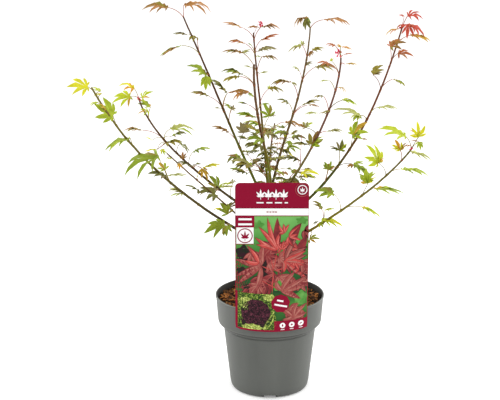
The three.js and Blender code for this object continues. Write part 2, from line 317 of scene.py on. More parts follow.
def finish_piece(piece, name, finish, slot_name, *stands_for, smooth=None):
    """Names a piece, settles its place into its mesh, gives it its finish and fixes it to the body. Its slot name is
    not used.
    It is smoothed up to the angle, in degrees, and stands for the nodes of the frame that are named."""
    pick_only(piece)
    piece.name = name
    piece.data.name = name
    bpy.ops.object.transform_apply(location=True, rotation=True, scale=True)
    if smooth is not None:
        bpy.ops.object.shade_smooth_by_angle(angle=math.radians(smooth))
    piece.data.materials.clear()
    piece.data.materials.append(finish.material)
    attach(piece, "root")
    if stands_for:
        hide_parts(*stands_for)


def apply_modifier(piece, kind, **settings):
    pick_only(piece)
    modifier = piece.modifiers.new(kind.title(), kind)
    for name, value in settings.items():
        setattr(modifier, name, value)
    bpy.ops.object.modifier_apply(modifier=modifier.name)


def join(pieces):
    bpy.ops.object.select_all(action="DESELECT")
    for piece in pieces:
        piece.select_set(True)
    bpy.context.view_layer.objects.active = pieces[0]
    bpy.ops.object.join()
    return bpy.context.active_object


class Gathered:
    """Points, in millimetres, and faces of many small shapes, gathered into one piece."""

    def __init__(self):
        self.points = []
        self.faces = []

    def add(self, points, faces):
        first = len(self.points)
        self.points.extend(tuple(float(value) * MM for value in point) for point in points)
        self.faces.extend(tuple(first + corner for corner in face) for face in faces)

    def finish(self, name, *looks, smooth=None):
        """Makes the piece, and finishes it as finish_piece does."""
        mesh = bpy.data.meshes.new(name)
        mesh.from_pydata(self.points, [], self.faces)
        mesh.update()
        piece = bpy.data.objects.new(name, mesh)
        bpy.context.scene.collection.objects.link(piece)
        finish_piece(piece, name, *looks, smooth=smooth)


def unit(vector):
    return vector / np.linalg.norm(vector)


def heading_vector(heading, pitch):
    """A direction from its heading, anticlockwise from +X, and its pitch above the horizontal, in degrees."""
    turn, rise = math.radians(heading), math.radians(pitch)
    return np.array((math.cos(rise) * math.cos(turn), math.cos(rise) * math.sin(turn), math.sin(rise)))


def grid_faces(rows, columns, closed, flip=False):
    """The faces between rows of points. Columns is how many points a row has."""
    faces = []
    for row in range(rows):
        for column in range(columns if closed else columns - 1):
            first, second = row * columns + column, row * columns + (column + 1) % columns
            face = (first, second, second + columns, first + columns)
            faces.append((face[0], *face[:0:-1]) if flip else face)
    return faces


def tube(path, radii, sides, relief=None):
    """A closed tube along a path, with a point at each end. Relief scales the radius by ring and side."""
    path = np.array(path)
    count = len(path)
    along = np.gradient(path, axis=0)
    across = unit(np.cross(along[0], (0.31, 0.17, 0.93) if abs(unit(along[0])[2]) < 0.9 else (1.0, 0.2, 0)))
    points = []
    for ring in range(count):
        forward = unit(along[ring])
        across = unit(across - forward * np.dot(across, forward))
        third = np.cross(forward, across)
        for side in range(sides):
            angle = 2 * math.pi * side / sides
            radius = radii[ring] * (relief[ring][side] if relief is not None else 1)
            points.append(path[ring] + radius * (math.cos(angle) * across + math.sin(angle) * third))
    faces = grid_faces(count - 1, sides, True)
    points.append(path[0])
    points.append(path[-1] + unit(along[-1]) * radii[-1] * 0.5)
    last = (count - 1) * sides
    for side in range(sides):
        after = (side + 1) % sides
        faces.append((after, side, count * sides))
        faces.append((last + side, last + after, count * sides + 1))
    return points, faces


# ---- Pot ----

POT_SIDES = 144
POT_PROFILE = (
    (62.5, 0), (66, 1.8), (67.8, 5), (69.3, 12), (75, 61), (80.2, 107), (80.6, 110.6), (79.9, 112.2), (80.6, 113.4),
    (83.2, 115), (87.2, 118.6), (89.6, 121), (90.5, 123.4), (90.9, 126.5), (92.4, 145), (93.9, 164.6),
    (94.2, 165.8), (95, 166.6), (95, 168.9), (94.6, 169.7), (93.9, 170), (92.8, 170), (92.2, 169.5), (92, 166),
    (88.8, 126.5), (87.4, 123), (79.6, 114), (78.8, 110), (67.5, 13), (63.5, 8), (50, 8), (45, 3),
)
FOOT_NOTCHES = 4
# each notch is cut by two boxes: width, height, and how far from the axis it starts
NOTCH_BOXES = ((38, 5.2, 65.2), (20, 5.4, 30))
NOTCH_REACH = 95
DRAIN_HOLES, DRAIN_CIRCLE, DRAIN_RADIUS = 4, 32, 4.5
DRAIN_SIDES, DRAIN_DEPTH = 32, 20


def turned(profile, sides):
    """A turned body: a disc is extruded upwards and scaled from ring to ring of the profile, in millimetres."""
    radius, height = profile[0]
    bpy.ops.mesh.primitive_circle_add(vertices=sides, radius=radius * MM, fill_type="NGON",
                                      location=(0, 0, height * MM))
    piece = bpy.context.active_object
    bpy.ops.object.transform_apply(location=True)
    edit_all(piece)
    for next_radius, next_height in profile[1:]:
        extrude(0, 0, (next_height - height) * MM)
        growth = next_radius / radius
        bpy.ops.transform.resize(value=(growth, growth, 1), center_override=(0, 0, next_height * MM))
        radius, height = next_radius, next_height
    face_outwards()
    return piece


def cut_away(piece, cutter):
    apply_modifier(piece, "BOOLEAN", object=cutter, operation="DIFFERENCE", solver="EXACT")
    bpy.data.objects.remove(cutter)


def around(radius, angle, z=0.0):
    """A place on a circle round the axis, in metres from millimetres."""
    return radius * MM * math.cos(angle), radius * MM * math.sin(angle), z * MM


def make_pot():
    pot = turned(POT_PROFILE, POT_SIDES)
    for notch in range(FOOT_NOTCHES):
        angle = 2 * math.pi * notch / FOOT_NOTCHES
        for width, height, start in NOTCH_BOXES:
            reach = NOTCH_REACH - start
            bpy.ops.mesh.primitive_cube_add(
                size=1, location=around(start + reach / 2, angle, (height - 1) / 2), rotation=(0, 0, angle))
            cutter = bpy.context.active_object
            cutter.scale = (reach * MM, width * MM, (height + 1) * MM)
            cut_away(pot, cutter)
    for hole in range(DRAIN_HOLES):
        bpy.ops.mesh.primitive_cylinder_add(
            vertices=DRAIN_SIDES, radius=DRAIN_RADIUS * MM, depth=DRAIN_DEPTH * MM,
            location=around(DRAIN_CIRCLE, 2 * math.pi * (hole + 0.5) / DRAIN_HOLES))
        cut_away(pot, bpy.context.active_object)
    finish_piece(pot, "nursery_pot", pot_plastic(), "pot_plastic", "pot", smooth=28)


# ---- Potting mix ----

MIX_TOP = 160.6
MIX_PROFILE = ((44, 3.4), (49.5, 8.4), (60.5, 8.4), (64.5, 14), (75.6, 113), (86.2, 126), (91, 157.4))
MIX_SIDES = 96
MIX_RADIUS, MIX_RIM = MIX_PROFILE[-1]
MIX_CELLS = 90
CHIP_RING, CHIP_LIMIT, CHIP_LIFT = 89, 90, 3.4
CHIP_LENGTH, CHIP_WIDTH, CHIP_THICKNESS = (5, 17), (2, 5.5), (0.8, 2.2)
# loose bark on top: name, darkest and lightest colour, how many chips
CHIP_KINDS = (
    ("mix_chips_dark", (34, 25, 17), (70, 48, 30), 420),
    ("mix_chips_brown", (86, 56, 31), (138, 92, 52), 440),
    ("mix_chips_orange", (140, 84, 38), (190, 126, 64), 290),
    ("mix_chips_straw", (150, 116, 70), (192, 160, 106), 46),
)


def mix_height(x, y):
    """How high the mix lies at a place, in millimetres: gentle hollows, and a dip to the wall."""
    waves = 1.6 * math.sin(x * 0.09 + 1) * math.cos(y * 0.075) + 0.9 * math.sin(x * 0.21 + y * 0.17)
    edge = max(0.0, (math.hypot(x, y) - 76) / 14)
    foot = math.hypot(x - 4, y - 3) / 26
    return MIX_TOP - 0.8 + waves * 0.8 - 0.5 * edge - 3.2 * math.exp(-foot * foot)


def bark_chip(rng, length, width, thickness):
    """A splinter of bark: a flat lozenge with a raised back and skewed ends."""
    half, side = length / 2, width / 2
    points = [
        (-half, -side * rng.uniform(0.2, 0.7), 0), (half, -side * rng.uniform(0.2, 0.7), 0),
        (half * rng.uniform(0.8, 1), side * rng.uniform(0.3, 0.8), 0), (-half * rng.uniform(0.8, 1), side, 0),
        (-half * 0.8, -side * 0.4, thickness), (half * 0.75, -side * 0.5, thickness * rng.uniform(0.6, 1)),
        (half * 0.7, side * 0.3, thickness), (-half * 0.75, side * 0.6, thickness * rng.uniform(0.6, 1)),
    ]
    faces = [(0, 3, 2, 1), (4, 5, 6, 7), (0, 1, 5, 4), (1, 2, 6, 5), (2, 3, 7, 6), (3, 0, 4, 7)]
    return np.array(points), faces


def rotation(heading, pitch, roll):
    """A turn about the length by roll, then a tilt by pitch, then a turn to the heading, in radians."""
    (ch, sh), (cp, sp), (cr, sr) = ((math.cos(angle), math.sin(angle)) for angle in (heading, pitch, roll))
    spin = np.array(((1, 0, 0), (0, cr, -sr), (0, sr, cr)))
    tilt = np.array(((cp, 0, -sp), (0, 1, 0), (sp, 0, cp)))
    face = np.array(((ch, -sh, 0), (sh, ch, 0), (0, 0, 1)))
    return face @ tilt @ spin


def mix_surface():
    """The uneven top: a square grid whose points are drawn in to rings, so that its edge is round."""
    bpy.ops.mesh.primitive_grid_add(x_subdivisions=MIX_CELLS, y_subdivisions=MIX_CELLS, size=2 * MIX_RADIUS * MM,
                                    location=(0, 0, 0))
    top = bpy.context.active_object
    for point in top.data.vertices:
        x, y = point.co.x / MM, point.co.y / MM
        reach, ring = max(abs(x), abs(y)), math.hypot(x, y)
        if ring > 0:
            x, y = x * reach / ring, y * reach / ring
        lift = mix_height(x, y) if reach < MIX_RADIUS - 1 else MIX_RIM
        point.co = (x * MM, y * MM, lift * MM)
    return top


def make_mix():
    bed = turned(MIX_PROFILE, MIX_SIDES)
    edit_all(bed)
    bpy.ops.mesh.select_all(action="DESELECT")
    leave_edit()
    for face in bed.data.polygons:
        face.select = face.normal.z > 0.9 and face.center.z > (MIX_RIM - 10) * MM
    bpy.ops.object.mode_set(mode="EDIT")
    bpy.ops.mesh.delete(type="ONLY_FACE")
    leave_edit()
    bed = join([bed, mix_surface()])
    edit_all(bed)
    bpy.ops.mesh.remove_doubles(threshold=0.0001)
    leave_edit()
    finish_piece(bed, "mix_bed", soil_finish("mix_bed", (26, 19, 13), (58, 42, 28), 260),
                 "potting_mix", "potting_mix", smooth=40)
    rng = random.Random(41)
    for name, dark, light, count in CHIP_KINDS:
        chips = Gathered()
        for _ in range(count):
            ring = CHIP_RING * math.sqrt(rng.random())
            angle = rng.uniform(0, 2 * math.pi)
            x, y = ring * math.cos(angle), ring * math.sin(angle)
            length = rng.uniform(*CHIP_LENGTH)
            if ring + length * 0.5 > CHIP_LIMIT:
                x, y = x * 0.9, y * 0.9
            points, faces = bark_chip(rng, length, rng.uniform(*CHIP_WIDTH), rng.uniform(*CHIP_THICKNESS))
            turn = rotation(rng.uniform(0, 6.3), rng.gauss(0.1, 0.28), rng.gauss(0, 0.4))
            place = np.array((x, y, mix_height(x, y) + rng.uniform(0, CHIP_LIFT)))
            chips.add(points @ turn.T + place, faces)
        chips.finish(name, soil_finish(name, dark, light, 420), "potting_mix")


# ---- Label card ----

# The card's own measures: u from its middle line to the right, v up from its foot, in millimetres.
CARD_WIDTH, CARD_HEIGHT, CARD_THICKNESS, CARD_CORNER = 123, 263, 0.8, 8
CARD_FOOT, CARD_MIDDLE = 134, 2
CARD_WRAP_RADIUS, CARD_WRAP_TOP, CARD_FLAT_FROM = 95.7, 172, 290
PRINT_CELL, DISC_SIDES = 4, 48
# how far the first coat of ink stands off the card, how much each coat adds, and the bare edges of the print
INK_LIFT, INK_STEP = 0.05, 0.008
BARE_SIDE, BARE_FOOT = 0.4, 1.2
# the hook's outline from the side, as distance from the axis and height, and its width
TONGUE_SIDE = ((-96.1, 192), (-96.1, 188), (-89.5, 175), (-87.5, 159), (-86.5, 159), (-88.5, 176))
TONGUE_WIDTH = 22


def on_card(u, v, lift):
    """A place on the card, in millimetres: it wraps round the pot's rim at its foot and is flat further up."""
    x, z = u + CARD_MIDDLE, v + CARD_FOOT
    rise = min(max((z - CARD_WRAP_TOP) / (CARD_FLAT_FROM - CARD_WRAP_TOP), 0), 1)
    flat = rise * rise * (3 - 2 * rise)
    wrapped = CARD_WRAP_RADIUS - math.sqrt(CARD_WRAP_RADIUS ** 2 - x * x)
    return x, -CARD_WRAP_RADIUS + wrapped * (1 - flat) - CARD_THICKNESS - lift, z


def line_axes(foot, tip):
    """The run from foot to tip, and the unit vector to its right."""
    foot, tip = np.array(foot, float), np.array(tip, float)
    run = tip - foot
    return foot, run, np.array((run[1], -run[0])) / np.linalg.norm(run)


class Ink:
    """Flat printed shapes of one colour, laid over the card's front in thin coats."""

    coats = 0
    held = False

    def __init__(self, finish):
        self.finish = finish
        self.shapes = Gathered()

    def lay(self, flat_points, faces):
        if not Ink.held:
            Ink.coats += 1
        lift = INK_LIFT + INK_STEP * Ink.coats
        half = CARD_WIDTH / 2 - BARE_SIDE
        self.shapes.add([on_card(min(max(u, -half), half), max(v, BARE_FOOT), lift) for u, v in flat_points], faces)

    def strip(self, left, right):
        """A band between two rows of points."""
        self.lay([*left, *right], grid_faces(1, len(left), False, True))

    def rectangle(self, low_u, low_v, high_u, high_v):
        columns = max(1, round((high_u - low_u) / PRINT_CELL))
        rows = max(1, round((high_v - low_v) / (2 * PRINT_CELL)))
        self.lay([(low_u + (high_u - low_u) * column / columns, low_v + (high_v - low_v) * row / rows)
                  for row in range(rows + 1) for column in range(columns + 1)], grid_faces(rows, columns + 1, False))

    def slab(self, middle_u, middle_v, length, width, slant=0):
        """A bar, turned by the slant in degrees."""
        run = np.array((math.cos(math.radians(slant)), math.sin(math.radians(slant))))
        side = np.array((run[1], -run[0]))
        middle = np.array((middle_u, middle_v))
        ends = [middle + run * length * share for share in (-0.5, -0.17, 0.17, 0.5)]
        self.strip([end - side * width / 2 for end in ends], [end + side * width / 2 for end in ends])

    def disc(self, middle_u, middle_v, radius, stretch=1.0, waves=0, depth=0.0, inner=0.0):
        """A round, oval or wavy-edged patch, or a ring where it has an inner share."""
        sides, rings = DISC_SIDES, max(1, round(radius / PRINT_CELL))
        points = []
        for ring in range(rings + 1):
            reach = radius * (inner + (1 - inner) * ring / rings)
            for side in range(sides):
                angle = 2 * math.pi * side / sides
                edge = reach * (1 + depth * math.sin(angle * waves + 0.6) * (ring / rings))
                points.append((middle_u + edge * math.cos(angle), middle_v + edge * stretch * math.sin(angle)))
        self.lay(points, grid_faces(rings, sides, True, True))

    def lobe(self, foot, tip, width, bend=0.0):
        """One pointed lobe of a leaf from its foot to its tip."""
        foot, run, side = line_axes(foot, tip)
        left, right = [], []
        for share in (0, 0.12, 0.26, 0.42, 0.58, 0.74, 0.88, 1):
            spread = width / 2 * math.sin(math.pi * share ** 0.8) ** 0.85 if 0 < share < 1 else 0.02
            middle = foot + run * share + side * bend * math.sin(math.pi * share)
            left.append(middle - side * spread)
            right.append(middle + side * spread)
        self.strip(left, right)


# The coats of a printed lobe are a dark edge, a body, and a lit stripe beside the midrib. Each runs from one share of
# the lobe to another, and its shift to the right and its breadth are shares of the lobe's width.
BOLD_COATS = ((0, 1, 0, 1.16), (0.02, 0.96, 0, 0.94), (0.08, 0.84, 0.2, 0.36))
SMALL_COATS = ((0, 1, 0, 1.35), (0, 1, 0, 1), (0.1, 0.8, 0.2, 0.3))


def printed_lobes(inks, coats, lobes, width):
    """Lays many lobes, each given by its foot, tip and bend, ink by ink."""
    for ink, (low, high, shift, breadth) in zip(inks, coats):
        Ink.coats += 1
        Ink.held = True
        for foot, tip, bend in lobes:
            foot, run, side = line_axes(foot, tip)
            foot = foot + side * shift * width
            ink.lobe(foot + run * low, foot + run * high, width * breadth, bend)
        Ink.held = False


def leaf_bed(rng, inks, places, reach, width):
    """Leaves behind the main ones, each turned by chance to hang out and down."""
    leaves = []
    for u, v in places:
        base = rng.uniform(190, 350)
        for turn, share in ((0, 1), (30, 0.92), (-30, 0.92), (62, 0.74), (-62, 0.74)):
            angle = math.radians(base + turn + rng.uniform(-5, 5))
            length = reach * share * rng.uniform(0.85, 1.12)
            leaves.append(((u, v), (u + length * math.cos(angle), v + length * math.sin(angle)),
                           rng.uniform(-1.5, 1.5)))
    printed_lobes(inks, SMALL_COATS, leaves, width)


def emblem(ink, middle_u, middle_v, size):
    """A plain five-lobed leaf, used as an ornament."""
    foot = (middle_u, middle_v - size * 0.3)
    for angle, length in ((90, 1), (48, 0.86), (132, 0.86), (8, 0.55), (172, 0.55)):
        turn = math.radians(angle)
        ink.lobe(foot, (foot[0] + size * length * math.cos(turn), foot[1] + size * length * math.sin(turn)),
                 size * 0.26)
    ink.slab(middle_u, middle_v - size * 0.5, size * 0.45, size * 0.07, 90)


def make_card():
    """The card's sheet: a plate with rounded corners, cut into cells so that it can wrap."""
    bpy.ops.mesh.primitive_plane_add(size=1, location=(0, 0, CARD_HEIGHT / 2 * MM), rotation=(math.pi / 2, 0, 0))
    card = bpy.context.active_object
    card.scale = (CARD_WIDTH * MM, CARD_HEIGHT * MM, 1)
    pick_only(card)
    bpy.ops.object.transform_apply(location=True, rotation=True, scale=True)
    edit_all(card)
    bpy.ops.mesh.bevel(offset=CARD_CORNER * MM, segments=8, affect="VERTICES")
    columns = int(CARD_WIDTH / 2 / PRINT_CELL)
    cuts = [((cell * PRINT_CELL * MM, 0, 0), (1, 0, 0)) for cell in range(-columns, columns + 1)]
    cuts += [((0, 0, row * 2 * PRINT_CELL * MM), (0, 0, 1)) for row in range(1, int(CARD_HEIGHT / 2 / PRINT_CELL) + 1)]
    for place, across in cuts:
        bpy.ops.mesh.select_all(action="SELECT")
        bpy.ops.mesh.bisect(plane_co=place, plane_no=across)
    bpy.ops.mesh.select_all(action="SELECT")
    extrude(0, CARD_THICKNESS * MM, 0)
    face_outwards()
    for point in card.data.vertices:
        point.co = [value * MM for value in on_card(point.co.x / MM, point.co.z / MM, -point.co.y / MM)]
    return card


def make_tongue():
    """The hook behind the card: it leaves the card above the rim and turns down inside the pot."""
    bpy.ops.mesh.primitive_circle_add(vertices=len(TONGUE_SIDE), radius=1, fill_type="NGON")
    tongue = bpy.context.active_object
    for point, (y, z) in zip(tongue.data.vertices, TONGUE_SIDE):
        point.co = ((CARD_MIDDLE - TONGUE_WIDTH / 2) * MM, y * MM, z * MM)
    edit_all(tongue)
    extrude(TONGUE_WIDTH * MM, 0, 0)
    face_outwards()
    apply_modifier(tongue, "BEVEL", width=0.25 * MM, segments=2)
    return tongue


PLUM = (143, 6, 46)
# each ink's finish, and the colours and scale that the finish takes
INKS = {
    "plum": (printed, PLUM),
    "white": (printed, (255, 254, 254)),
    "green": (picture_green, (96, 160, 76)),
    "shadow": (printed, (52, 24, 34), (26, 40, 26), 160),
    "meadow": (printed, (74, 138, 56), (108, 168, 82), 60),
    "wine": (printed, (112, 40, 46), (150, 56, 58), 90),
    "dull": (printed, (146, 68, 66), (172, 92, 84), 130),
    "rose": (printed, (186, 118, 106), (168, 96, 86), 150),
    "coral": (printed, (202, 82, 76), (180, 62, 60), 110),
    "blush": (printed, (226, 126, 116), (208, 98, 90), 130),
    "hedge": (picture_bush, (34, 56, 24), (110, 140, 50), (206, 216, 104), 330),
    "shrub": (picture_bush, (32, 18, 24), (84, 38, 52), (140, 74, 90), 400),
    "lime": (picture_bush, (126, 146, 62), (200, 212, 112), (232, 238, 150), 360),
}
# the large printed leaves: three inks for edge, body and light, the foot, the lobes' tips, their width and bend
RED, PINK, FADED, DIM, NIGHT = (
    ("wine", "coral", "rose"), ("wine", "coral", "blush"), ("wine", "dull", "rose"), ("shadow", "dull", "rose"),
    ("shadow", "wine", "coral"))
PRINTED_LEAVES = (
    (DIM, (21, 128), ((60, 152), (60, 138), (42, 170)), 8, 1.5),
    (FADED, (-17, 118), ((-62, 130), (-61, 97), (-27, 71), (-42, 155), (-14, 161), (-58, 83)), 9, 1.5),
    (FADED, (15, 74), ((40, 109), (61, 81), (50, 55), (61, 98), (6, 92)), 8.5, 1.5),
    (PINK, (-21, 122), ((-46, 127), (-37, 150)), 7.5, 1.5),
    (RED, (21, 128), ((59, 122), (61, 93), (20, 106), (58, 146)), 7.5, 1.5),
    (FADED, (36, 24), ((60, 45), (60, 28), (18, 21), (12, 44), (44, 50)), 7.5, 1.5),
    (NIGHT, (28, 170), ((50, 194), (38, 150)), 6, 1.5),
    (PINK, (28, 170), ((39, 184), (43, 175), (50, 163), (26, 154)), 4.6, 0.8),
    (PINK, (9, 145), ((-8, 204), (-23, 188), (-29, 169), (-27, 156), (12, 176)), 7.5, 2),
    (PINK, (20, 175), ((11, 191), (19, 193), (29, 192), (11, 176)), 4.6, 0.8),
    (PINK, (17, 147), ((20, 164), (28, 158), (8, 158)), 3.6, 0.6),
)


def make_label():
    finish_piece(join([make_card(), make_tongue()]), "label_sheet", printed("label_sheet", PLUM), "label_print",
                 "label_card", smooth=40)
    inks = {name: Ink(maker("label_" + name, *tones)) for name, (maker, *tones) in INKS.items()}
    print_picture(inks)
    print_panels(*(inks[name] for name in ("plum", "white", "shadow", "rose", "dull", "hedge", "shrub", "lime")))
    for name, ink in inks.items():
        ink.shapes.finish("label_" + name, ink.finish, "label_print")


def print_picture(inks):
    """The main picture: a garden out of focus, a bed of small leaves, then the large ones."""
    green, shadow, meadow, wine, dull, rose, coral, blush = (
        inks[name] for name in ("green", "shadow", "meadow", "wine", "dull", "rose", "coral", "blush"))
    green.rectangle(-60.2, 2.4, 60.4, 206)
    for u, v, radius, stretch in ((-48, 140, 12, 1.2), (-12, 108, 9, 2.2), (16, 122, 11, 1.3), (50, 150, 8, 0.9),
                                  (-50, 108, 9, 0.8), (-17, 78, 11, 1.1), (2, 95, 8, 1.6), (44, 112, 8, 1.2)):
        shadow.disc(u, v, radius, stretch, 5, 0.14)
    for u, v, radius, stretch in ((12, 84, 10, 1.1), (49, 57, 11, 1.2), (52, 90, 9, 0.4), (26, 130, 5, 1.8)):
        meadow.disc(u, v, radius, stretch, 5, 0.12)
    for foot, tip, width in (((4, 96), (-16, 58), 8), ((0, 84), (-10, 58), 7), ((9, 150), (9, 203), 13),
                             ((22, 132), (50, 196), 10), ((10, 108), (24, 72), 7), ((-30, 92), (-8, 66), 8),
                             ((30, 168), (44, 184), 9), ((38, 128), (60, 176), 14), ((-52, 80), (-30, 66), 10),
                             ((20, 150), (28, 168), 8)):
        wine.lobe(foot, tip, width)
    rng = random.Random(12)
    leaf_bed(rng, (shadow, wine, dull), (
        (-18, 98), (2, 150), (44, 150), (50, 104), (6, 104), (-34, 84), (-8, 84), (54, 182), (24, 130), (-8, 140)),
        30, 6.5)
    leaf_bed(rng, (wine, dull, rose), (
        (-32, 142), (12, 134), (36, 142), (52, 126), (-4, 124), (30, 100), (-22, 84), (46, 88), (12, 100),
        (52, 34), (30, 42), (48, 20)), 25, 6)
    for u, v, radius, stretch in ((12, 83, 8, 1.0), (50, 57, 8, 1.3), (-22, 190, 8, 0.9), (50, 198, 9, 0.6)):
        meadow.disc(u, v, radius, stretch, 5, 0.2)
    leaf_bed(rng, (wine, coral, blush), ((32, 160), (46, 146), (16, 160), (38, 128)), 21, 4.6)
    for start, end in (((3, 110), (1, 68)), ((-17, 118), (3, 110)), ((3, 110), (28, 116)), ((3, 112), (9, 146)),
                       ((-20, 94), (16, 74)), ((21, 128), (19, 148)), ((3, 110), (-2, 132))):
        coral.lobe(start, end, 1.7, 0.4)
    for names, foot, tips, width, bend in PRINTED_LEAVES:
        lobes = [(foot, tip, bend if number % 2 else -bend) for number, tip in enumerate(tips)]
        printed_lobes([inks[name] for name in names], BOLD_COATS, lobes, width)


def print_panels(plum, white, shadow, rose, dull, hedge, shrub, lime):
    """The inset with its bush, the plum frame, the emblem's panel and the plain bars and marks."""
    hedge.rectangle(-57.5, 3.4, 4.4, 68)
    lime.disc(-43, 50, 13, 0.8, 9, 0.06)
    lime.disc(-4, 62, 10, 0.6, 7, 0.08)
    shadow.disc(-30, 16, 22, 0.5, 7, 0.05)
    shrub.disc(-27, 33, 25, 0.98, 11, 0.03)
    lime.disc(-33, 6, 17, 0.42, 9, 0.08)
    lime.lobe((-14, 4), (4.4, 38), 9, 3)
    hedge.lobe((-4, 2), (4.4, 34), 12, 2)
    plum.rectangle(4.4, 0.6, 61, 19.4)
    plum.rectangle(-61, 0.6, 4.4, 3.6)
    plum.rectangle(-61, 0.6, -57.8, 70)
    plum.disc(15, 51, 15.6, 1.0, 9, 0.035)
    plum.rectangle(-60.2, 186, -29.4, 206)
    white.rectangle(-59.4, 157.6, -30.6, 186)
    plum.rectangle(-60.2, 156.4, -29.4, 157.6)
    plum.disc(-45, 171.6, 13, 1, 0, 0, 0.86)
    emblem(plum, -45, 171.4, 12.5)
    white.rectangle(-61, 207, 61.1, 219)
    plum.rectangle(-61, 205.6, 61.1, 207)

    for place, length in ((-18.5, 13), (-3, 11), (12, 13), (25, 6)):
        white.slab(place - 1.4, 229, length * 0.9, 2.2)
    for number in range(4):
        emblem(white, -19 + 12.8 * number, 243.5, 12.5)
    white.disc(50.3, 251.4, 8.2, 1, 0, 0, 0.82)
    emblem(white, 50.3, 251.2, 7)
    rose.disc(50.3, 251.4, 11.8, 1, 0, 0, 0.96)
    for place in (-7.4, -2.6, 2.2, 6.4):
        dull.slab(place, 213, 3.4, 1.7)
    for row, length in ((200.4, 22), (191.6, 23)):
        white.slab(-44.8, row, length, 3.4)
    white.slab(14.5, 56, 11, 3, -14)
    white.slab(15.5, 47.4, 22, 3, -14)
    for number in range(3):
        middle = 18.7 + 15.7 * number
        white.disc(middle, 11.4, 4.8)
        white.slab(middle, 4, 6.5, 1.1)
    plum.lobe((18.7, 8.9), (18.7, 14.4), 2.6)
    plum.disc(34.4, 11.4, 1.7)
    plum.slab(50.1, 11.4, 4.4, 1.8, 24)


# ---- Trunk and limbs ----

UP = np.array((0.0, 0.0, 1.0))
TRUNK_FOOT, TRUNK_STRAIGHT_FROM, TRUNK_TOP = 155.35, 225, 322
TRUNK_LOW_RADIUS, TRUNK_HIGH_RADIUS, TRUNK_OFFSET = 7.6, 5.2, (4, 3)
TRUNK_RINGS, TRUNK_SIDES, GRAIN_RINGS = 220, 40, 8
FLARE, FLARE_FADE, GRAFT, GRAFT_RISE, GRAFT_SPREAD = 5, 7, 2.2, 34, 11
LIMB_STEPS, LIMB_RINGS, LIMB_SIDES = 48, 150, 16
# how far a limb's radius falls short of its solid's, and how much of that it gains back at its tip
SLIM, TIP_GAIN = 0.9, 0.12
# the bare stretches at a limb's foot and tip, where no leaf can leave a ring
BARE_START, BARE_END = 20, 4
# the swelling where leaves stand: its share of the radius, and how far it reaches along the limb
NODE_SWELL, SWELL_REACH = 0.2, 1.9
# how far a limb wanders from its line, ring by ring, and how uneven its sides and rings are
WANDER_STEP, WANDER_SHARE, SIDE_GRAIN, RING_GRAIN = 0.16, 0.35, 0.02, 0.018

# fork height, heading, sweep, lean at foot and tip, how early the lean changes, length, radius at foot and tip
LIMBS = {
    "far_left": (256, -163, 40, (64, 30), 1.1, 437, (3.0, 1.5)),
    "left": (297, 155, 40, (76, 9), 0.5, 341, (2.8, 1.4)),
    "thin_left": (262, -136, 12, (48, 52), 0.4, 309, (1.9, 1.1)),
    "top_left": (318, 155, 12, (32, 25), 3.2, 367, (2.9, 1.3)),
    "cut_leader": (322, -108, 40, (-15, 35), 3.9, 316, (2.8, 1.9)),
    "middle": (310, 104, 10, (27, 10), 0.4, 324, (2.8, 1.3)),
    "right_middle": (322, 64, 40, (-3, 43), 4, 352, (2.9, 1.3)),
    "right": (318, -50, 40, (51, -5), 0.5, 364, (2.8, 1.4)),
    "top_right": (290, 21, 4, (65, 18), 1.6, 427, (3.0, 1.3)),
    "far_right": (240, -28, -40, (56, 35), 0.4, 343, (2.9, 1.4)),
    "back": (300, 87, -13, (45, 60), 1.7, 227, (2.5, 1.3)),
}

# where each limb's pairs of leaves stand or stood, along it
NODES = {
    "far_left": (146, 209, 255, 319, 355, 382),
    "left": (92, 121, 192, 256, 320),
    "thin_left": (129, 161, 219, 270),
    "top_left": (122, 191, 260, 298),
    "cut_leader": (198, 270),
    "middle": (196, 250, 290, 310),
    "right_middle": (132, 176, 205, 242, 286),
    "right": (197, 273, 311, 334),
    "top_right": (160, 196, 258, 311, 356),
    "far_right": (114, 157, 207, 272, 314),
    "back": (62, 101, 141, 180, 212),
}

# bark: colour low down, colour high up, and the heights between which it changes
BARK_TONES = {
    "far_left": ((54, 40, 32), (104, 94, 30), 0.26, 0.46),
    "left": ((58, 58, 28), (82, 54, 12), 0.26, 0.44),
    "thin_left": ((68, 74, 10), (86, 60, 10), 0.26, 0.42),
    "top_left": ((92, 104, 14), (76, 44, 4), 0.38, 0.52),
    "cut_leader": ((108, 110, 16), (86, 56, 24), 0.41, 0.46),
    "middle": ((104, 108, 20), (92, 50, 8), 0.41, 0.50),
    "right_middle": ((62, 60, 8), (96, 74, 34), 0.34, 0.44),
    "right": ((94, 96, 30), (96, 60, 44), 0.38, 0.50),
    "top_right": ((66, 78, 10), (100, 52, 20), 0.35, 0.48),
    "far_right": ((130, 122, 28), (92, 82, 24), 0.26, 0.42),
    "back": ((80, 94, 52), (94, 66, 40), 0.32, 0.44),
}


def trunk_axis(z):
    rise = min(max((z - TRUNK_FOOT) / (TRUNK_STRAIGHT_FROM - TRUNK_FOOT), 0), 1)
    bend = 1 - rise * rise * (3 - 2 * rise)
    return np.array((TRUNK_OFFSET[0] * bend, TRUNK_OFFSET[1] * bend, z))


def trunk_radius(z, angle):
    """A tapering stem with a root flare in three toes and the swelling of a graft."""
    up = z - TRUNK_FOOT
    plain = TRUNK_LOW_RADIUS + (TRUNK_HIGH_RADIUS - TRUNK_LOW_RADIUS) * up / (TRUNK_TOP - TRUNK_FOOT)
    fade = math.exp(-up / FLARE_FADE)
    graft = GRAFT * math.exp(-((up - GRAFT_RISE) / GRAFT_SPREAD) ** 2)
    return (plain + FLARE * fade + graft) * (1 + 0.22 * math.sin(3 * angle + 1) * fade)


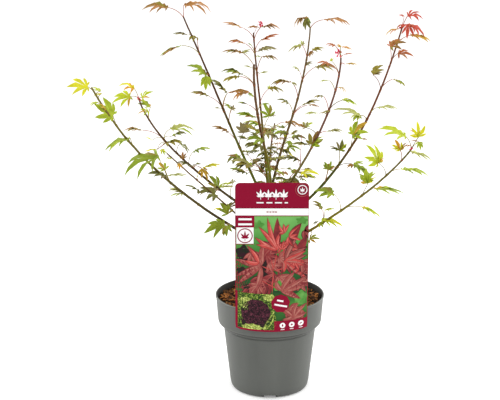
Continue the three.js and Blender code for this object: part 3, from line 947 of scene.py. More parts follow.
def limb_line(name):
    """The points of a limb's centre line, in equal steps, and the step."""
    fork, heading, sweep, lean, ease, length, _ = LIMBS[name]
    step = length / LIMB_STEPS
    points = [trunk_axis(fork)]
    for number in range(LIMB_STEPS):
        share = (number + 0.5) / LIMB_STEPS
        tilt = lean[1] + (lean[0] - lean[1]) * (1 - share) ** ease
        points.append(points[-1] + heading_vector(heading + sweep * (share - 0.5), 90 - tilt) * step)
    return np.array(points), step


LINES = {name: limb_line(name) for name in LIMBS}


def along_limb(name, distance):
    """A point on a limb's centre line and the way that it runs there."""
    points, step = LINES[name]
    place = min(max(distance / step, 0), LIMB_STEPS - 1e-6)
    number = int(place)
    run = points[number + 1] - points[number]
    return points[number] + run * (place - number), unit(run)


def make_trunk():
    rng = np.random.default_rng(9)
    start = TRUNK_FOOT - 2
    path = [trunk_axis(start + (TRUNK_TOP - start) * ring / (TRUNK_RINGS - 1)) for ring in range(TRUNK_RINGS)]
    grain = rng.normal(0, 1, (TRUNK_RINGS // GRAIN_RINGS + 2, TRUNK_SIDES))
    relief = np.zeros((TRUNK_RINGS, TRUNK_SIDES))
    for ring in range(TRUNK_RINGS):
        row, share = ring // GRAIN_RINGS, ring / GRAIN_RINGS % 1
        ridges = grain[row] * (1 - share) + grain[row + 1] * share
        z = max(path[ring][2], TRUNK_FOOT)
        for side in range(TRUNK_SIDES):
            turn = 2 * math.pi * side / TRUNK_SIDES
            relief[ring][side] = trunk_radius(z, turn) + 0.16 * ridges[side] + 0.22 * math.sin(5 * turn + z * 0.05)
    trunk = Gathered()
    trunk.add(*tube(path, [1.0] * TRUNK_RINGS, TRUNK_SIDES, relief))
    trunk.finish("trunk_stem", bark("trunk", (94, 76, 56), (80, 58, 44), 0.18, 0.27, 0.7), "trunk_bark", "trunk",
                 smooth=50)


def leaf_places(name):
    """Every place along a limb where a leaf stands, but for those at its very foot or tip."""
    places = {row[0] for row in PLAN.get(name, ())} | set(NODES[name])
    return [place for place in sorted(places) if BARE_START < place < LIMBS[name][5] - BARE_END]


def limb_radius(name, share):
    """A limb's radius at a share of its length."""
    foot, tip = LIMBS[name][6]
    return (foot + (tip - foot) * share) * (SLIM + TIP_GAIN * share)


def make_limbs():
    rng = np.random.default_rng(17)
    for name in LIMBS:
        length, places = LIMBS[name][5], leaf_places(name)
        path, radii = [], []
        for ring in range(LIMB_RINGS):
            share = ring / (LIMB_RINGS - 1)
            path.append(along_limb(name, share * length)[0])
            swell = sum(math.exp(-((share * length - place) / SWELL_REACH) ** 2) for place in places)
            radii.append(limb_radius(name, share) * (1 + NODE_SWELL * min(swell, 1)))
        wander = np.cumsum(rng.normal(0, WANDER_STEP, (LIMB_RINGS, 3)), axis=0)
        wander -= np.linspace(wander[0], wander[-1], LIMB_RINGS)
        grain = rng.normal(0, SIDE_GRAIN, LIMB_SIDES)
        relief = 1 + grain + rng.normal(0, RING_GRAIN, (LIMB_RINGS, LIMB_SIDES))
        limb = Gathered()
        limb.add(*tube(np.array(path) + wander * WANDER_SHARE, radii, LIMB_SIDES, relief))
        limb.finish("bough_" + name, bark(name, *BARK_TONES[name]), "limb_bark", "limb_" + name, smooth=60)


# each ring of scarred bark: how far its sections are from its middle, and how much wider than the limb
SCAR_SECTIONS = ((-1.2, 1.06), (-0.7, 1.26), (0, 1.32), (0.7, 1.26), (1.2, 1.06))
SCAR_SIDES = 12


def make_scars():
    """A ring of paler, orange-brown bark round each place where pairs of leaves stand."""
    scars = Gathered()
    for name, (*_, length, _) in LIMBS.items():
        for place in leaf_places(name):
            if place in NODES[name]:
                middle, run = along_limb(name, place)
                thick = limb_radius(name, place / length)
                scars.add(*tube([middle + run * offset for offset, _ in SCAR_SECTIONS],
                                [thick * swell for _, swell in SCAR_SECTIONS], SCAR_SIDES))
    scars.finish("leaf_scars", bark("scars", (122, 78, 42), (140, 74, 48), 0.3, 0.5), "limb_bark", smooth=60)


# short shoots: limb, distance along it, heading, pitch, length, foot radius, sag
TWIGS = (
    ("right", 148, 83, 72, 54, 0.8, 6), ("right", 148, 135, 66, 17, 0.6, 2), ("left", 250, -162, -35, 24, 0.9, 3),
    ("middle", 69, -140, 40, 14, 0.7, 3), ("top_right", 123, -55, 60, 16, 0.7, 3),
    ("middle", 321, 16, 66, 20, 0.5, 2),
    ("back", 62, 20, 30, 46, 0.9, 10), ("back", 101, 150, 34, 52, 0.9, 12), ("back", 141, 40, 36, 40, 0.8, 8),
)


def along_twig(foot, run, length, bend, share):
    """A point on a short shoot, which sags by its bend."""
    return foot + run * length * share + UP * bend * (share * share - share)


def make_twigs():
    twigs = Gathered()
    for name, distance, heading, pitch, length, radius, bend in TWIGS:
        foot, _ = along_limb(name, distance)
        run = heading_vector(heading, pitch)
        shares = np.linspace(0, 1, 12)
        twigs.add(*tube([along_twig(foot, run, length, bend, share) for share in shares],
                        [radius * (1 - 0.45 * share) for share in shares], 8))
    twigs.finish("short_shoots", bark("shoots", (120, 76, 48), (140, 60, 50), 0.3, 0.46), "limb_bark", smooth=60)


# ---- Leaves ----

# kind: blade colour, material slot, stalk kind, how narrow its lobes are
LEAF_KINDS = {
    "tip": ((216, 212, 44), "leaf_lime", "green", 0.9),
    "lime": ((186, 198, 44), "leaf_lime", "green", 0.88),
    "spring": ((162, 178, 46), "leaf_lime", "green", 1.0),
    "pale": ((176, 180, 100), "leaf_lime", "green", 0.72),
    "green": ((138, 156, 44), "leaf_green", "green", 1.0),
    "olive": ((146, 134, 50), "leaf_green", "tan", 1.05),
    "moss": ((110, 110, 46), "leaf_green", "green", 1.05),
    # Painted reflection: this greyed blade colour stands in for the white sheen that such leaves show.
    "sage": ((156, 152, 88), "leaf_green", "tan", 1.0),
    "dusk": ((134, 122, 78), "leaf_bronze", "tan", 1.08),
    "umber": ((150, 112, 50), "leaf_bronze", "tan", 0.98),
    "bronze": ((176, 124, 66), "leaf_bronze", "tan", 0.8),
    "rust": ((184, 108, 62), "leaf_bronze", "tan", 0.95),
    "gold": ((194, 156, 50), "leaf_bronze", "tan", 0.9),
    "orange": ((212, 156, 42), "leaf_bronze", "green", 0.85),
    "crimson": ((196, 82, 62), "leaf_crimson", "tan", 0.82),
}

# A lobe may turn to its kind's neighbour in colour, as an ageing or shaded edge does.
NEIGHBOURS = {
    "tip": ("orange", "lime"), "lime": ("tip", "gold", "spring"), "spring": ("lime", "green", "gold"),
    "pale": ("spring", "sage"), "green": ("spring", "olive", "umber"), "olive": ("umber", "green", "moss"),
    "moss": ("olive", "dusk", "green"), "sage": ("olive", "spring"), "dusk": ("moss", "sage", "umber"),
    "umber": ("bronze", "olive"), "bronze": ("umber", "rust", "gold"), "rust": ("bronze", "umber"),
    "gold": ("spring", "orange"), "orange": ("gold", "tip"), "crimson": ("rust", "crimson"),
}
TURNED_SHARE = 0.25

# Each row is a leaf: how far along its limb it stands; its stalk's heading, rise and length; its blade's heading,
# pitch and length; how far it is rolled towards its back edge; its colour; and how far its tip hooks over, if much.
PLAN = {
    "far_left": (
        (72, -125, 23, 29, -168, -21, 40, 34, "green"), (72, -111, 20, 34, -89, -49, 21, 22, "green"),
        (178, 99, 1, 4, 163, 10, 35, -6, "pale"), (178, -106, 21, 4, -150, -3, 28, -6, "pale"),
        (210, -120, 57, 68, -168, -30, 68, 12, "green"), (210, -128, 54, 17, -164, 10, 36, 4, "moss"),
        (210, 128, 52, 25, 140, 34, 19, 32, "spring"), (224, 59, 28, 5, 17, -5, 41, -10, "pale"),
        (306, -109, 56, 19, 180, -27, 50, 2, "green"), (354, -138, 70, 20, -168, 34, 38, 68, "spring"),
        (389, 166, 43, 17, 159, -19, 17, 12, "spring"), (389, -85, 31, 7, -160, 40, 15, 22, "gold"),
        (414, 54, 32, 12, 180, -23, 17, 2, "tip"), (422, 180, 47, 19, 180, -2, 36, 40, "tip"),
        (422, 33, 27, 10, 147, 14, 19, 2, "lime"),
    ),
    "left": (
        (94, 70, 66, 26, 162, -15, 27, -2, "lime"), (94, 70, 66, 26, 92, 17, 15, 27, "sage"),
        (125, 0, -35, 2, 162, 51, 30, 22, "green"), (125, 79, -13, 15, 27, -4, 31, -10, "pale"),
        (182, -43, 13, 22, 0, 7, 37, -10, "tip"), (182, -53, 13, 26, -43, -54, 25, 12, "gold"),
        (186, -76, 28, 9, -57, 18, 26, 7, "dusk"), (190, -84, 19, 5, -150, 14, 30, -2, "moss"),
        (192, -41, 66, 30, -17, 10, 33, 2, "green"), (206, -91, 29, 5, 92, 45, 16, 12, "umber"),
        (222, 64, 54, 19, 40, -40, 28, 27, "moss"), (248, -102, 16, 6, -34, 4, 34, 4, "olive"),
        (250, -153, -35, 21, -170, -8, 24, -6, "tip"), (256, -37, 26, 19, -11, 10, 30, 0, "moss"),
        (256, 52, 42, 24, 15, -12, 50, 6, "pale", 30), (257, 165, 20, 40, 173, -5, 39, -12, "umber"),
        (257, -140, 4, 25, -152, 25, 14, 2, "tip"), (300, 76, 63, 23, 169, 26, 29, 10, "spring"),
        (300, -94, 74, 18, -165, -15, 20, 24, "lime"), (341, 180, 68, 20, 180, 8, 29, 17, "orange", 38),
        (341, -152, 20, 18, -171, -19, 35, 30, "lime"), (341, -45, 26, 8, 0, 28, 24, 32, "lime"),
    ),
    "thin_left": (
        (123, -97, -35, 15, 147, 47, 25, 27, "green"), (123, -141, 7, 16, -159, -12, 17, -4, "tip"),
        (123, 102, -28, 9, 27, 27, 22, 12, "moss"), (166, -77, 38, 5, -161, 7, 32, 27, "moss"),
        (166, -153, 19, 28, -151, 25, 32, 4, "moss"), (166, 61, 27, 13, 169, -17, 40, -4, "dusk"),
        (219, -82, 45, 9, 104, 16, 6, 7, "pale"), (272, -84, 28, 7, -88, -51, 13, 7, "gold"),
        (297, -148, -5, 8, -38, -9, 10, 2, "lime"), (308, -144, 41, 14, -51, -54, 9, 12, "lime"),
        (309, -149, 41, 13, -43, -53, 12, 12, "lime"),
    ),
    "top_left": (
        (125, 164, 52, 29, 180, 19, 34, -4, "umber", 24), (125, -58, 62, 30, 111, 48, 23, 16, "dusk"),
        (125, -58, 62, 30, 39, 54, 27, 7, "dusk"), (169, -53, 73, 26, 71, 31, 12, 37, "dusk"),
        (169, 68, 69, 24, 151, 30, 19, -2, "pale"), (194, -41, 73, 32, 8, -6, 44, -12, "bronze", 30),
        (194, -133, 25, 6, -144, 11, 14, -6, "sage"), (196, -52, 67, 32, 180, 38, 39, -2, "moss"),
        (197, 168, 39, 31, 180, 10, 34, -6, "olive"), (260, -126, 6, 6, 180, 23, 38, 12, "green"),
        (260, -106, -5, 8, -104, -72, 26, 2, "spring"), (298, 131, 77, 29, -145, -16, 18, 12, "olive", 34),
        (298, -170, 27, 34, 180, -26, 44, -8, "green", 10), (335, -123, -13, 6, 180, 3, 30, -10, "moss"),
        (365, 169, 32, 32, 180, -6, 47, 7, "umber", 26), (365, 180, 90, 22, 0, -17, 50, 4, "bronze", 38),
    ),
    "cut_leader": (
        (136, 150, -2, 32, 146, 3, 22, -2, "moss"), (137, -95, 21, 13, -157, 0, 31, 14, "green"),
        (137, 146, -20, 19, 155, -27, 21, 0, "moss"), (147, -113, 29, 12, -157, 29, 34, -2, "olive"),
        (147, 132, -16, 14, 141, 17, 17, 7, "moss"), (191, 129, -13, 7, 167, 7, 36, -9, "green"),
        (202, -152, 43, 23, -162, 14, 20, -8, "olive"), (202, 54, 52, 16, 29, -5, 17, -8, "green"),
        (235, 160, 41, 16, 180, -31, 31, -10, "bronze", 40), (235, -150, 45, 17, -46, -40, 11, 2, "green"),
        (268, 156, 39, 25, 174, 6, 38, -10, "moss"), (268, -148, 34, 32, -165, -15, 31, -4, "olive"),
        (308, 129, 0, 8, 140, 5, 15, -8, "pale"),
    ),
    "middle": (
        (69, -145, 40, 41, -168, 13, 41, 8, "sage"), (69, -151, 42, 38, 31, 32, 18, 2, "moss"),
        (69, 134, 21, 15, 90, 69, 17, 7, "moss"), (69, 154, 7, 45, 161, 1, 31, -4, "olive"),
        (69, -147, 19, 42, -144, 8, 24, 0, "moss"), (111, -41, 17, 19, -161, -15, 32, -4, "moss"),
        (111, 31, 12, 16, 22, -39, 20, 12, "moss"), (111, 79, 16, 13, 37, 1, 26, -4, "moss"),
        (111, 128, 8, 13, 167, -15, 28, -2, "moss"), (144, -74, 29, 17, -44, -22, 25, 6, "sage"),
        (144, 66, 35, 16, 45, -23, 12, 7, "dusk"), (145, -47, 65, 39, 154, 59, 26, 42, "green"),
        (145, -47, 65, 39, 0, 3, 13, 7, "green"), (199, -29, 59, 33, -8, -12, 28, 4, "olive", 30),
        (199, -29, 59, 33, 75, 43, 8, 22, "spring"), (253, 63, -13, 9, 29, 0, 21, -10, "pale"),
        (254, 161, 53, 41, 172, 0, 41, -6, "umber"), (254, 161, 53, 42, 29, 14, 17, 12, "pale"),
        (254, -34, 70, 32, -8, -16, 31, -4, "umber", 28), (254, -36, 71, 31, -145, 5, 14, 0, "green"),
        (284, 161, 48, 27, 173, 2, 32, -8, "bronze"), (284, -128, 61, 21, -153, 31, 10, 7, "green"),
        (291, -32, 61, 24, 0, 18, 35, -2, "rust", 8), (291, 63, -10, 7, 18, 2, 40, -10, "dusk", 24),
        (310, -23, 63, 28, 0, -9, 36, -10, "umber", 30), (310, -24, 63, 27, -166, 0, 25, -10, "bronze"),
        (313, 164, 44, 26, 180, 13, 41, -10, "bronze", 20),
    ),
    "right_middle": (
        (90, -31, 4, 43, -164, 7, 37, -4, "moss"), (90, -32, 11, 31, 180, 36, 15, -4, "tip"),
        (90, -56, 20, 20, -142, 15, 10, 32, "tip"), (121, -67, 22, 14, -39, -36, 16, 12, "green"),
        (121, -84, 63, 18, -76, -26, 7, 12, "tip"), (125, -131, 21, 17, -161, 20, 26, 8, "dusk"),
        (125, 98, -4, 8, 150, -3, 16, -4, "bronze"), (132, -40, 23, 14, 16, 29, 16, 6, "olive"),
        (138, -86, 28, 11, -158, -9, 27, 4, "moss"), (154, 132, -31, 16, 166, -8, 26, -8, "pale", 40),
        (154, 132, -31, 16, 141, 43, 9, 8, "moss"), (172, -22, 50, 25, -7, 15, 36, -8, "olive"),
        (172, 17, 33, 32, 15, -15, 24, -8, "umber"), (174, -134, 64, 26, -164, 16, 23, 10, "moss"),
        (208, -155, 68, 31, 180, -9, 39, -9, "umber", 26), (208, -154, 69, 31, -40, -36, 12, 2, "sage"),
        (241, -135, 70, 21, -164, 28, 16, 2, "sage", 40), (243, 15, 45, 32, 6, -9, 42, -2, "olive", 28),
        (262, 68, 56, 11, 30, 17, 17, 4, "dusk"), (290, -146, 66, 27, -171, -29, 29, 6, "sage", 20),
        (290, -146, 66, 27, 76, 28, 12, 42, "sage"), (290, 23, 50, 16, 9, 7, 25, 8, "olive", 20),
        (290, 23, 49, 16, -129, -57, 14, 2, "umber"), (352, 133, 74, 20, 180, -40, 32, -4, "umber", 45),
        (352, -124, 70, 22, -126, -72, 24, -4, "moss"), (352, -10, 35, 28, 0, -13, 51, -6, "bronze", 28),
    ),
    "right": (
        (109, -105, 15, 13, -163, 10, 34, -4, "moss"), (123, 61, -25, 10, 13, -6, 36, -10, "dusk"),
        (123, -43, -6, 12, -35, -18, 15, -4, "moss"), (130, -51, 18, 14, -11, -5, 32, 10, "tip"),
        (130, 42, 16, 16, 24, -10, 20, -4, "olive"), (130, 158, 2, 37, 19, -29, 21, 2, "spring"),
        (130, -145, 31, 20, 43, 11, 9, 8, "moss"), (197, -93, 32, 9, 44, 57, 27, 48, "olive"),
        (197, -93, 32, 9, 10, 33, 26, 2, "spring"), (197, -101, 28, 9, -161, 8, 37, -10, "moss"),
        (197, -85, 28, 9, -38, 5, 16, 4, "spring"), (220, -162, 40, 25, 112, 29, 15, 37, "sage"),
        (220, -162, 40, 25, 180, 13, 21, -4, "umber"), (220, -162, 40, 25, 17, 33, 17, -2, "lime"),
        (223, 30, 15, 16, 11, -5, 32, -12, "sage", 26), (264, 161, 9, 13, 163, -11, 28, -12, "pale"),
        (271, -143, 69, 28, -167, -7, 17, 0, "olive"), (271, -71, 18, 9, -146, -9, 18, -2, "olive"),
        (273, -16, 40, 28, 0, -21, 27, -8, "spring"), (273, -16, 40, 28, 20, -6, 18, 6, "lime"),
        (307, -50, 54, 11, 0, -41, 16, -4, "gold", 40), (307, 145, 59, 20, 155, -13, 19, -12, "pale"),
        (336, -154, 48, 28, -169, 0, 21, 10, "rust"), (336, -171, 62, 26, 92, 21, 9, 22, "lime"),
        (354, -53, 9, 10, 0, -5, 21, -10, "gold"), (364, 155, 63, 21, 166, 2, 17, 8, "rust"),
        (364, 111, 83, 18, 18, -18, 21, -4, "orange"), (364, -64, 41, 9, 7, 5, 17, -8, "rust"),
        (364, 95, 70, 17, 136, 27, 10, 8, "gold"),
    ),
    "top_right": (
        (123, -52, 69, 28, 64, 46, 19, 37, "green"), (123, -56, 70, 28, 121, 47, 17, 8, "green"),
        (123, -49, 68, 28, -15, 22, 17, 6, "umber"), (159, -20, 14, 30, -7, -36, 40, 4, "green"),
        (159, -20, 14, 30, 16, 7, 22, 2, "spring"), (159, -20, 14, 30, -146, -19, 15, 12, "umber"),
        (161, -78, 75, 31, 63, 60, 22, 42, "moss"), (161, -78, 75, 31, 169, 16, 21, 2, "moss"),
        (161, -75, 74, 31, 15, 37, 20, 6, "spring"), (198, -69, 72, 28, 13, 38, 35, 36, "spring"),
        (198, -69, 72, 28, -11, 11, 20, -2, "green"), (214, 31, 6, 15, 30, -13, 12, 8, "umber"),
        (255, -140, 37, 19, -173, 11, 52, 6, "pale", 18), (255, -140, 36, 19, -144, -31, 20, 8, "spring"),
        (267, -28, 46, 18, 0, -6, 40, -6, "pale"), (314, -157, 60, 31, 20, 38, 26, 12, "olive"),
        (314, -157, 60, 31, -19, 13, 19, -4, "umber"), (314, 16, 38, 27, 5, -31, 27, -8, "olive"),
        (364, -109, 74, 30, -8, 13, 30, 27, "umber"), (364, -109, 74, 30, 37, 48, 15, 22, "rust"),
        (364, 26, 47, 20, -4, -12, 29, 24, "rust"), (396, -10, 36, 28, 0, -16, 38, 4, "gold"),
        (421, 97, 22, 7, 171, -29, 30, -6, "bronze", 26), (422, 0, 68, 27, 10, 13, 23, 30, "crimson", 20),
        (422, -33, 66, 27, -16, -10, 29, 4, "crimson", 34), (422, 40, 75, 24, 161, 4, 12, 8, "crimson"),
        (422, -36, 41, 18, -8, -40, 38, 4, "crimson", 24), (422, -43, 40, 19, -104, -67, 27, 12, "crimson"),
        (424, -42, 52, 10, -158, -21, 17, 6, "crimson"),
    ),
    "far_right": (
        (88, -101, -39, 18, -18, 3, 20, 42, "spring"), (107, 100, 17, 9, 160, -38, 15, 12, "moss"),
        (112, -114, 19, 12, -47, -36, 13, 22, "spring"), (113, -100, 46, 12, -6, -18, 40, 4, "lime"),
        (115, 99, 74, 21, 168, 37, 25, 6, "olive"), (115, -76, 75, 23, 11, 3, 21, -8, "lime"),
        (156, -10, 13, 35, 0, -30, 40, -2, "lime", 14), (156, 149, 61, 32, 173, 3, 34, 18, "green", 16),
        (206, -41, 62, 26, 99, 63, 27, 42, "spring"), (206, -41, 62, 26, 15, 49, 24, 8, "tip"),
        (206, -41, 62, 26, 174, 42, 25, 6, "spring"), (230, 49, -21, 8, 0, -10, 55, -2, "spring", 14),
        (268, -149, 58, 29, 176, 54, 38, 40, "lime"), (268, -149, 58, 29, 14, 64, 19, 18, "lime"),
        (268, -149, 58, 29, -164, 7, 21, 2, "lime"), (274, 17, 17, 22, 2, -15, 51, -6, "spring", 18),
        (312, -114, 71, 20, 148, 57, 21, 32, "tip"), (312, -114, 71, 20, -166, 11, 17, 0, "tip"),
        (312, -110, 71, 20, 10, 51, 18, 2, "bronze"), (332, 44, 19, 6, 0, -24, 41, 0, "pale"),
        (343, 10, 59, 23, 117, 76, 27, 22, "tip"), (343, 10, 59, 23, 165, 34, 19, 12, "tip"),
        (343, 9, 58, 24, -24, 70, 14, 12, "lime"), (343, -158, 65, 25, -175, 14, 51, 8, "lime"),
        (343, -28, 49, 19, -73, -59, 16, 6, "spring", 30), (343, -28, 49, 19, 172, 3, 14, -4, "bronze"),
        (343, -100, 61, 8, -154, -3, 14, 2, "bronze"),
    ),
}

LOBES_SEVEN = ((0, 1.0), (33, 0.88), (-33, 0.88), (66, 0.64), (-66, 0.64), (102, 0.32), (-102, 0.32))
LOBES_FIVE = ((0, 1.0), (35, 0.85), (-35, 0.85), (74, 0.56), (-74, 0.56))
LOBE_STATIONS = (0.2, 0.5, 0.78)
LOBE_WIDTHS = (0.095, 0.178, 0.118)
# how far out the notches between lobes reach, the outer ones' share of that, and how far beyond the last lobe they are
SINUS_REACH, OUTER_SINUS, OUTER_TURN = 0.15, 0.6, 26
# a level leaf's share of its full spread, the roll at which it is level, and the roll from there that opens it
SHUT_FAN, LEVEL_ROLL, OPEN_ROLL = 0.4, 18, 42
# how steeply a lobe's halves fold up from its midrib, and how steeply its midrib arches, in degrees
FOLD, ARCH = (24, 40), (12, 26)
# the size above which a leaf has seven lobes, and the size above which its lobes are slimmer
SEVEN_LOBES_FROM, BROAD_UP_TO = 30, 38
FACES_PER_LOBE = 8


def blade_axes(heading, pitch, roll):
    """The way a blade runs, its side towards the back, and its upper face's direction."""
    along = heading_vector(heading, pitch)
    side = np.array((-along[1], along[0], 0.0))
    if np.linalg.norm(side) < 0.05:
        side = np.array((0.3, 1.0, 0.0))
    side = unit(side)
    if side[1] < 0:
        side = -side
    upper = np.cross(along, side)
    if upper[2] < 0:
        upper = -upper
    turn = math.radians(roll)
    return along, side * math.cos(turn) + upper * math.sin(turn), upper * math.cos(turn) - side * math.sin(turn)


def blade(rng, foot, heading, pitch, size, roll, width, arch):
    """A palmate leaf of pointed lobes: each is folded along its midrib, arched, and hangs a little.
    A leaf that lies level keeps its lobes closer together, like a half-shut fan."""
    along, side, upper = blade_axes(heading, pitch, roll)
    fold = math.radians(rng.uniform(*FOLD))
    open_share = min(1.0, SHUT_FAN + (1 - SHUT_FAN) * abs(roll + LEVEL_ROLL) / OPEN_ROLL)
    lobes = [(turn * open_share, share) for turn, share in
             sorted(LOBES_SEVEN if size > SEVEN_LOBES_FROM else LOBES_FIVE)]
    points, faces = [foot], []
    middles = []
    for number in range(len(lobes) + 1):
        low = lobes[number - 1][0] if number else lobes[0][0] - OUTER_TURN
        high = lobes[number][0] if number < len(lobes) else lobes[-1][0] + OUTER_TURN
        angle = math.radians((low + high) / 2)
        reach = size * SINUS_REACH * (1 if 0 < number < len(lobes) else OUTER_SINUS)
        middles.append(len(points))
        points.append(foot + (along * math.cos(angle) + side * math.sin(angle)) * reach + upper * size * 0.012)
    for number, (turn, share) in enumerate(lobes):
        turn += rng.uniform(-4, 4) if turn else 0
        angle = math.radians(turn)
        sag = math.radians(rng.uniform(0, 9) * min(abs(turn) / 60, 1))
        length = size * share * (rng.uniform(0.88, 1.06) if turn else 1)
        flat = along * math.cos(angle) + side * math.sin(angle)
        run = flat * math.cos(sag) - upper * math.sin(sag)
        lift = upper * math.cos(sag) + flat * math.sin(sag)
        across = unit(np.cross(run, lift))
        if np.dot(across, side * math.cos(angle) - along * math.sin(angle)) < 0:
            across = -across
        hook = math.tan(math.radians(arch * rng.uniform(0.8, 1.15)))
        twist = rng.uniform(-0.25, 0.25)
        broad = width * rng.uniform(0.92, 1.12) * (1.0 if share > 0.5 else 1.2) * min(1, BROAD_UP_TO / size) ** 0.8
        ribs, lefts, rights = [], [], []
        for station, spread in zip(LOBE_STATIONS, LOBE_WIDTHS):
            middle = foot + run * length * station + lift * hook * length * station * (1 - station)
            half = spread * length * broad
            tilt = twist * station
            over = across * math.cos(tilt) + lift * math.sin(tilt)
            above = lift * math.cos(tilt) - across * math.sin(tilt)
            ribs.append(len(points))
            points.append(middle)
            if station > LOBE_STATIONS[0]:
                for sign, edge in ((-1, lefts), (1, rights)):
                    nick = rng.uniform(0.86, 1.14)
                    edge.append(len(points))
                    points.append(middle + over * sign * half * nick * math.cos(fold)
                                  + above * half * nick * math.sin(fold) + run * half * rng.uniform(-0.3, 0.3))
        tip = len(points)
        points.append(foot + run * length)
        left, right = middles[number], middles[number + 1]
        faces += [(0, ribs[0], left), (0, right, ribs[0]),
                  (left, ribs[0], ribs[1], lefts[0]), (ribs[0], right, rights[0], ribs[1]),
                  (lefts[0], ribs[1], ribs[2], lefts[1]), (ribs[1], rights[0], rights[1], ribs[2]),
                  (lefts[1], ribs[2], tip), (ribs[2], rights[1], tip)]
    flip = np.dot(np.cross(points[faces[0][1]] - points[0], points[faces[0][2]] - points[0]), upper) < 0
    return points, [face[::-1] for face in faces] if flip else faces


def stalk(node, run, foot, thick):
    """A leaf stalk: it leaves the limb on the limb's own slope, then bows over to its blade."""
    chord = foot - node
    reach = np.linalg.norm(chord)
    middle = node + unit(0.5 * run + 0.75 * unit(chord) + 0.35 * UP) * reach * 0.55
    path = [node * (1 - share) ** 2 + middle * 2 * share * (1 - share) + foot * share * share
            for share in np.linspace(0, 1, 8)]
    radii = [thick * (1.5 if ring == 0 else 1.0 - 0.2 * ring / 7) for ring in range(8)]
    return tube(path, radii, 5)


def bud(foot, run, length, radius):
    """A pointed bud: a teardrop with a waist of scales at its foot."""
    shares = (0, 0.12, 0.3, 0.5, 0.72, 0.9, 1)
    swell = (0.5, 0.8, 1.0, 0.92, 0.6, 0.28, 0.06)
    return tube([foot + run * length * share for share in shares], [radius * part for part in swell], 7)


def crown_masses():
    """The middle of each leaf mass of the frame, in millimetres, by its node's name."""
    masses = {}
    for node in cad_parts:
        if node.startswith("leaves_"):
            low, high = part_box(node)
            masses[node] = np.array((Vector(low) + Vector(high)) / 2) / MM
    return masses


# each kind of stalk: its colour and material slot; then the radii for larger and for smaller leaves
STALK_KINDS = {"green": ((144, 128, 48), "leaf_green"), "tan": ((158, 88, 58), "leaf_bronze")}
STALK_RADIUS, FINE_STALK_RADIUS, FINE_STALK_UP_TO = 0.74, 0.58, 16


class Crown:
    """All leaves, stalks and buds, each kind gathered apart."""

    def __init__(self):
        self.blades = {kind: Gathered() for kind in LEAF_KINDS}
        self.stalks = {kind: Gathered() for kind in STALK_KINDS}
        self.buds = Gathered()
        self.masses = crown_masses()
        self.nearest = {}

    def leaf(self, rng, limb, distance, *shape):
        """A leaf on a limb, with the rest of a row of the plan."""
        self.leaf_at(rng, limb, *along_limb(limb, distance), *shape)

    def leaf_at(self, rng, limb, node, run, turn, rise, reach, face, pitch, size, roll, kind, arch=None):
        foot = node + heading_vector(turn, rise) * reach
        _, _, stem, width = LEAF_KINDS[kind]
        if arch is None:
            arch = rng.uniform(*ARCH)
        points, faces = blade(rng, foot, face, pitch, size, roll, width, arch)
        lobes = {}
        for first in range(0, len(faces), FACES_PER_LOBE):
            tint = rng.choice(NEIGHBOURS[kind]) if rng.random() < TURNED_SHARE else kind
            lobes.setdefault(tint, []).extend(faces[first:first + FACES_PER_LOBE])
        for tint, part in lobes.items():
            used = sorted({corner for face in part for corner in face})
            place = {corner: number for number, corner in enumerate(used)}
            self.blades[tint].add([points[corner] for corner in used],
                                  [tuple(place[corner] for corner in face) for face in part])
        thick = STALK_RADIUS if size > FINE_STALK_UP_TO else FINE_STALK_RADIUS
        self.stalks[stem].add(*stalk(node, run, foot, thick))
        for mass, middle in self.masses.items():
            if mass.startswith("leaves_" + limb + "_"):
                gap = np.linalg.norm(middle - foot)
                if mass not in self.nearest or gap < self.nearest[mass][0]:
                    self.nearest[mass] = (gap, kind)

    def bud(self, limb, distance, heading, pitch, length, radius, offset):
        foot, _ = along_limb(limb, distance)
        self.buds.add(*bud(foot + offset, heading_vector(heading, pitch), length, radius))

    def finish(self):
        """Makes the pieces. Each mass is stood for by the kind of the leaf that is nearest its middle."""
        for kind, (colour, slot_name, _, _) in LEAF_KINDS.items():
            stands_for = sorted(mass for mass, (_, nearest) in self.nearest.items() if nearest == kind)
            self.blades[kind].finish("leaves_" + kind + "_spray", leaf_finish(kind, colour), slot_name, *stands_for,
                                     smooth=35)
        for kind, (colour, slot_name) in STALK_KINDS.items():
            self.stalks[kind].finish("stalks_" + kind, leaf_finish("stalk_" + kind, colour, 0.85, 1.1), slot_name,
                                     smooth=60)
        self.buds.finish("tip_buds", leaf_finish("bud", (205, 50, 80)), "leaf_crimson", smooth=60)


# colours that grown leaves take, by limb
PALETTES = {
    "back": ("moss", "olive", "green", "moss", "umber"),
    "middle": ("moss", "dusk", "sage", "spring"),
    "right_middle": ("moss", "olive", "dusk", "green"),
    "right": ("moss", "lime", "olive", "spring"),
    "cut_leader": ("moss", "dusk", "sage"),
    "top_left": ("moss", "spring", "green"),
}
# where the hidden pairs of leaves low on the front limbs stand, and the limb whose short shoots carry leaves
HEART_PLACES = (38, 80)
LEAFY_TWIGS = "back"
# clusters of buds: limb, distance along it, how far they spread, how many, and the cluster's offset
TIP_BUDS = (
    ("left", 341, 22, 6, (0, 0, 0)), ("middle", 324, 24, 10, (13, 2, 14)), ("right", 364, 30, 9, (-4, 0, 6)),
    ("top_right", 427, 26, 7, (0, 0, 0)), ("far_right", 343, 12, 4, (0, 0, 0)),
)


def grow_pairs(crown, rng, limb, places, palette, sizes):
    """Opposite pairs of leaves, each pair a quarter turn on from the last."""
    for number, place in enumerate(places):
        _, run = along_limb(limb, place)
        base = math.degrees(math.atan2(run[1], run[0])) + (90 if number % 2 else 0)
        for side in (90, -90):
            heading = base + side + rng.uniform(-18, 18)
            size = rng.uniform(*sizes)
            crown.leaf(rng, limb, place, heading, rng.uniform(15, 60), size * rng.uniform(0.5, 0.95),
                       heading + rng.uniform(-30, 30), rng.uniform(-28, 12), size, rng.uniform(-16, 14),
                       rng.choice(palette))


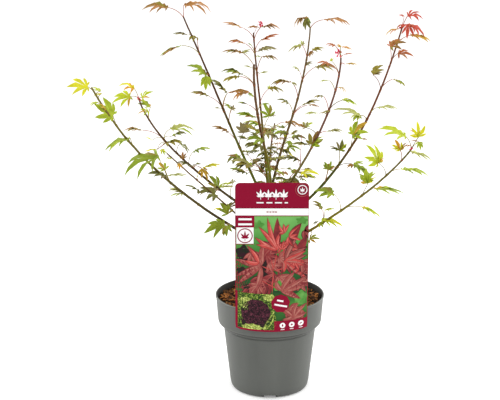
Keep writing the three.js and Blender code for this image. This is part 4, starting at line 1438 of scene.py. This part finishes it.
def leaf_twig(crown, rng, limb, distance, heading, pitch, length, bend):
    """Two pairs of leaves on a short shoot, half way along it and at its tip."""
    foot, _ = along_limb(limb, distance)
    run = heading_vector(heading, pitch)
    for share in (0.55, 1):
        node = along_twig(foot, run, length, bend, share)
        for side in (-55, 55):
            size = rng.uniform(20, 34)
            crown.leaf_at(rng, limb, node, run, heading + side + rng.uniform(-20, 20), rng.uniform(5, 50),
                          size * rng.uniform(0.4, 0.8), heading + side, rng.uniform(-26, 10), size,
                          rng.uniform(-14, 12), rng.choice(PALETTES[limb]))


def make_crown():
    rng = random.Random(2024)
    crown = Crown()
    for limb, rows in PLAN.items():
        for row in rows:
            crown.leaf(rng, limb, *row)
    for limb, palette in PALETTES.items():
        places, sizes = (NODES[limb], (24, 42)) if limb == LEAFY_TWIGS else (HEART_PLACES, (17, 30))
        grow_pairs(crown, rng, limb, places, palette, sizes)
    for limb, distance, spread, count, lift in TIP_BUDS:
        for number in range(count):
            offset = np.array(lift) + np.array([rng.uniform(-0.16, 0.16) for _ in range(3)]) * spread
            crown.bud(limb, distance, 360 * number / count + rng.uniform(-30, 30), rng.uniform(10, 80),
                      rng.uniform(2.6, 5), rng.uniform(1.1, 1.7), offset)
    for limb, distance, heading, pitch, length, _, bend in TWIGS:
        if limb == LEAFY_TWIGS:
            leaf_twig(crown, rng, limb, distance, heading, pitch, length, bend)
    crown.finish()


# ---- Floor, light and camera ----

CAMERA_PLACE = (-0.0346, -2.648, 1.102)
CAMERA_PITCH, CAMERA_LENS, SENSOR_WIDTH = 16.06, 115.2, 36
FLOOR_SIZE, FLOOR_WHITE, FLOOR_GLOW, WORLD_GLOW = 30, 0.93, 0.2, 1.04
# each lamp: place, what it points at, width, height, power
LAMPS = {
    "left_softbox": ((-1.5, 0.75, 0.6), (0, 0, 0.25), 0.9, 1.5, 22),
    "right_softbox": ((1.5, 0.75, 0.6), (0, 0, 0.25), 0.9, 1.5, 25),
    "top_softbox": ((0, -0.4, 2.3), (0, 0, 0.3), 1.6, 1.6, 4),
}


def make_floor():
    bpy.ops.mesh.primitive_plane_add(size=FLOOR_SIZE, location=(0, 0, 0))
    floor = bpy.context.active_object
    floor.name = "studio_floor"
    finish = Finish("studio_floor", (FLOOR_WHITE,) * 3, 0.9, Specular_IOR_Level=0.1,
                    Emission_Color=(1, 1, 1), Emission_Strength=FLOOR_GLOW)
    floor.data.materials.append(finish.material)


def lamp(name, place, target, width, height, power):
    light = bpy.data.lights.new(name, "AREA")
    light.shape = "RECTANGLE"
    light.size, light.size_y, light.energy = width, height, power
    holder = bpy.data.objects.new(name, light)
    holder.location = place
    holder.rotation_euler = (Vector(target) - Vector(place)).to_track_quat("-Z", "Y").to_euler()
    bpy.context.scene.collection.objects.link(holder)


def make_studio():
    scene = bpy.context.scene
    scene.view_settings.view_transform = "Standard"
    world = bpy.data.worlds.new("studio_world")
    world.use_nodes = True
    background = world.node_tree.nodes["Background"]
    background.inputs["Color"].default_value = (1, 1, 1, 1)
    background.inputs["Strength"].default_value = WORLD_GLOW
    scene.world = world
    for name, settings in LAMPS.items():
        lamp(name, *settings)
    camera = bpy.data.objects.new("camera", bpy.data.cameras.new("camera"))
    camera.location = CAMERA_PLACE
    camera.rotation_euler = (math.radians(90 - CAMERA_PITCH), 0, 0)
    camera.data.lens = CAMERA_LENS
    camera.data.sensor_width = SENSOR_WIDTH
    camera.data.dof.use_dof = False
    scene.collection.objects.link(camera)
    scene.camera = camera


make_studio()
make_floor()
make_pot()
make_mix()
make_label()
make_trunk()
make_limbs()
make_scars()
make_twigs()
make_crown()
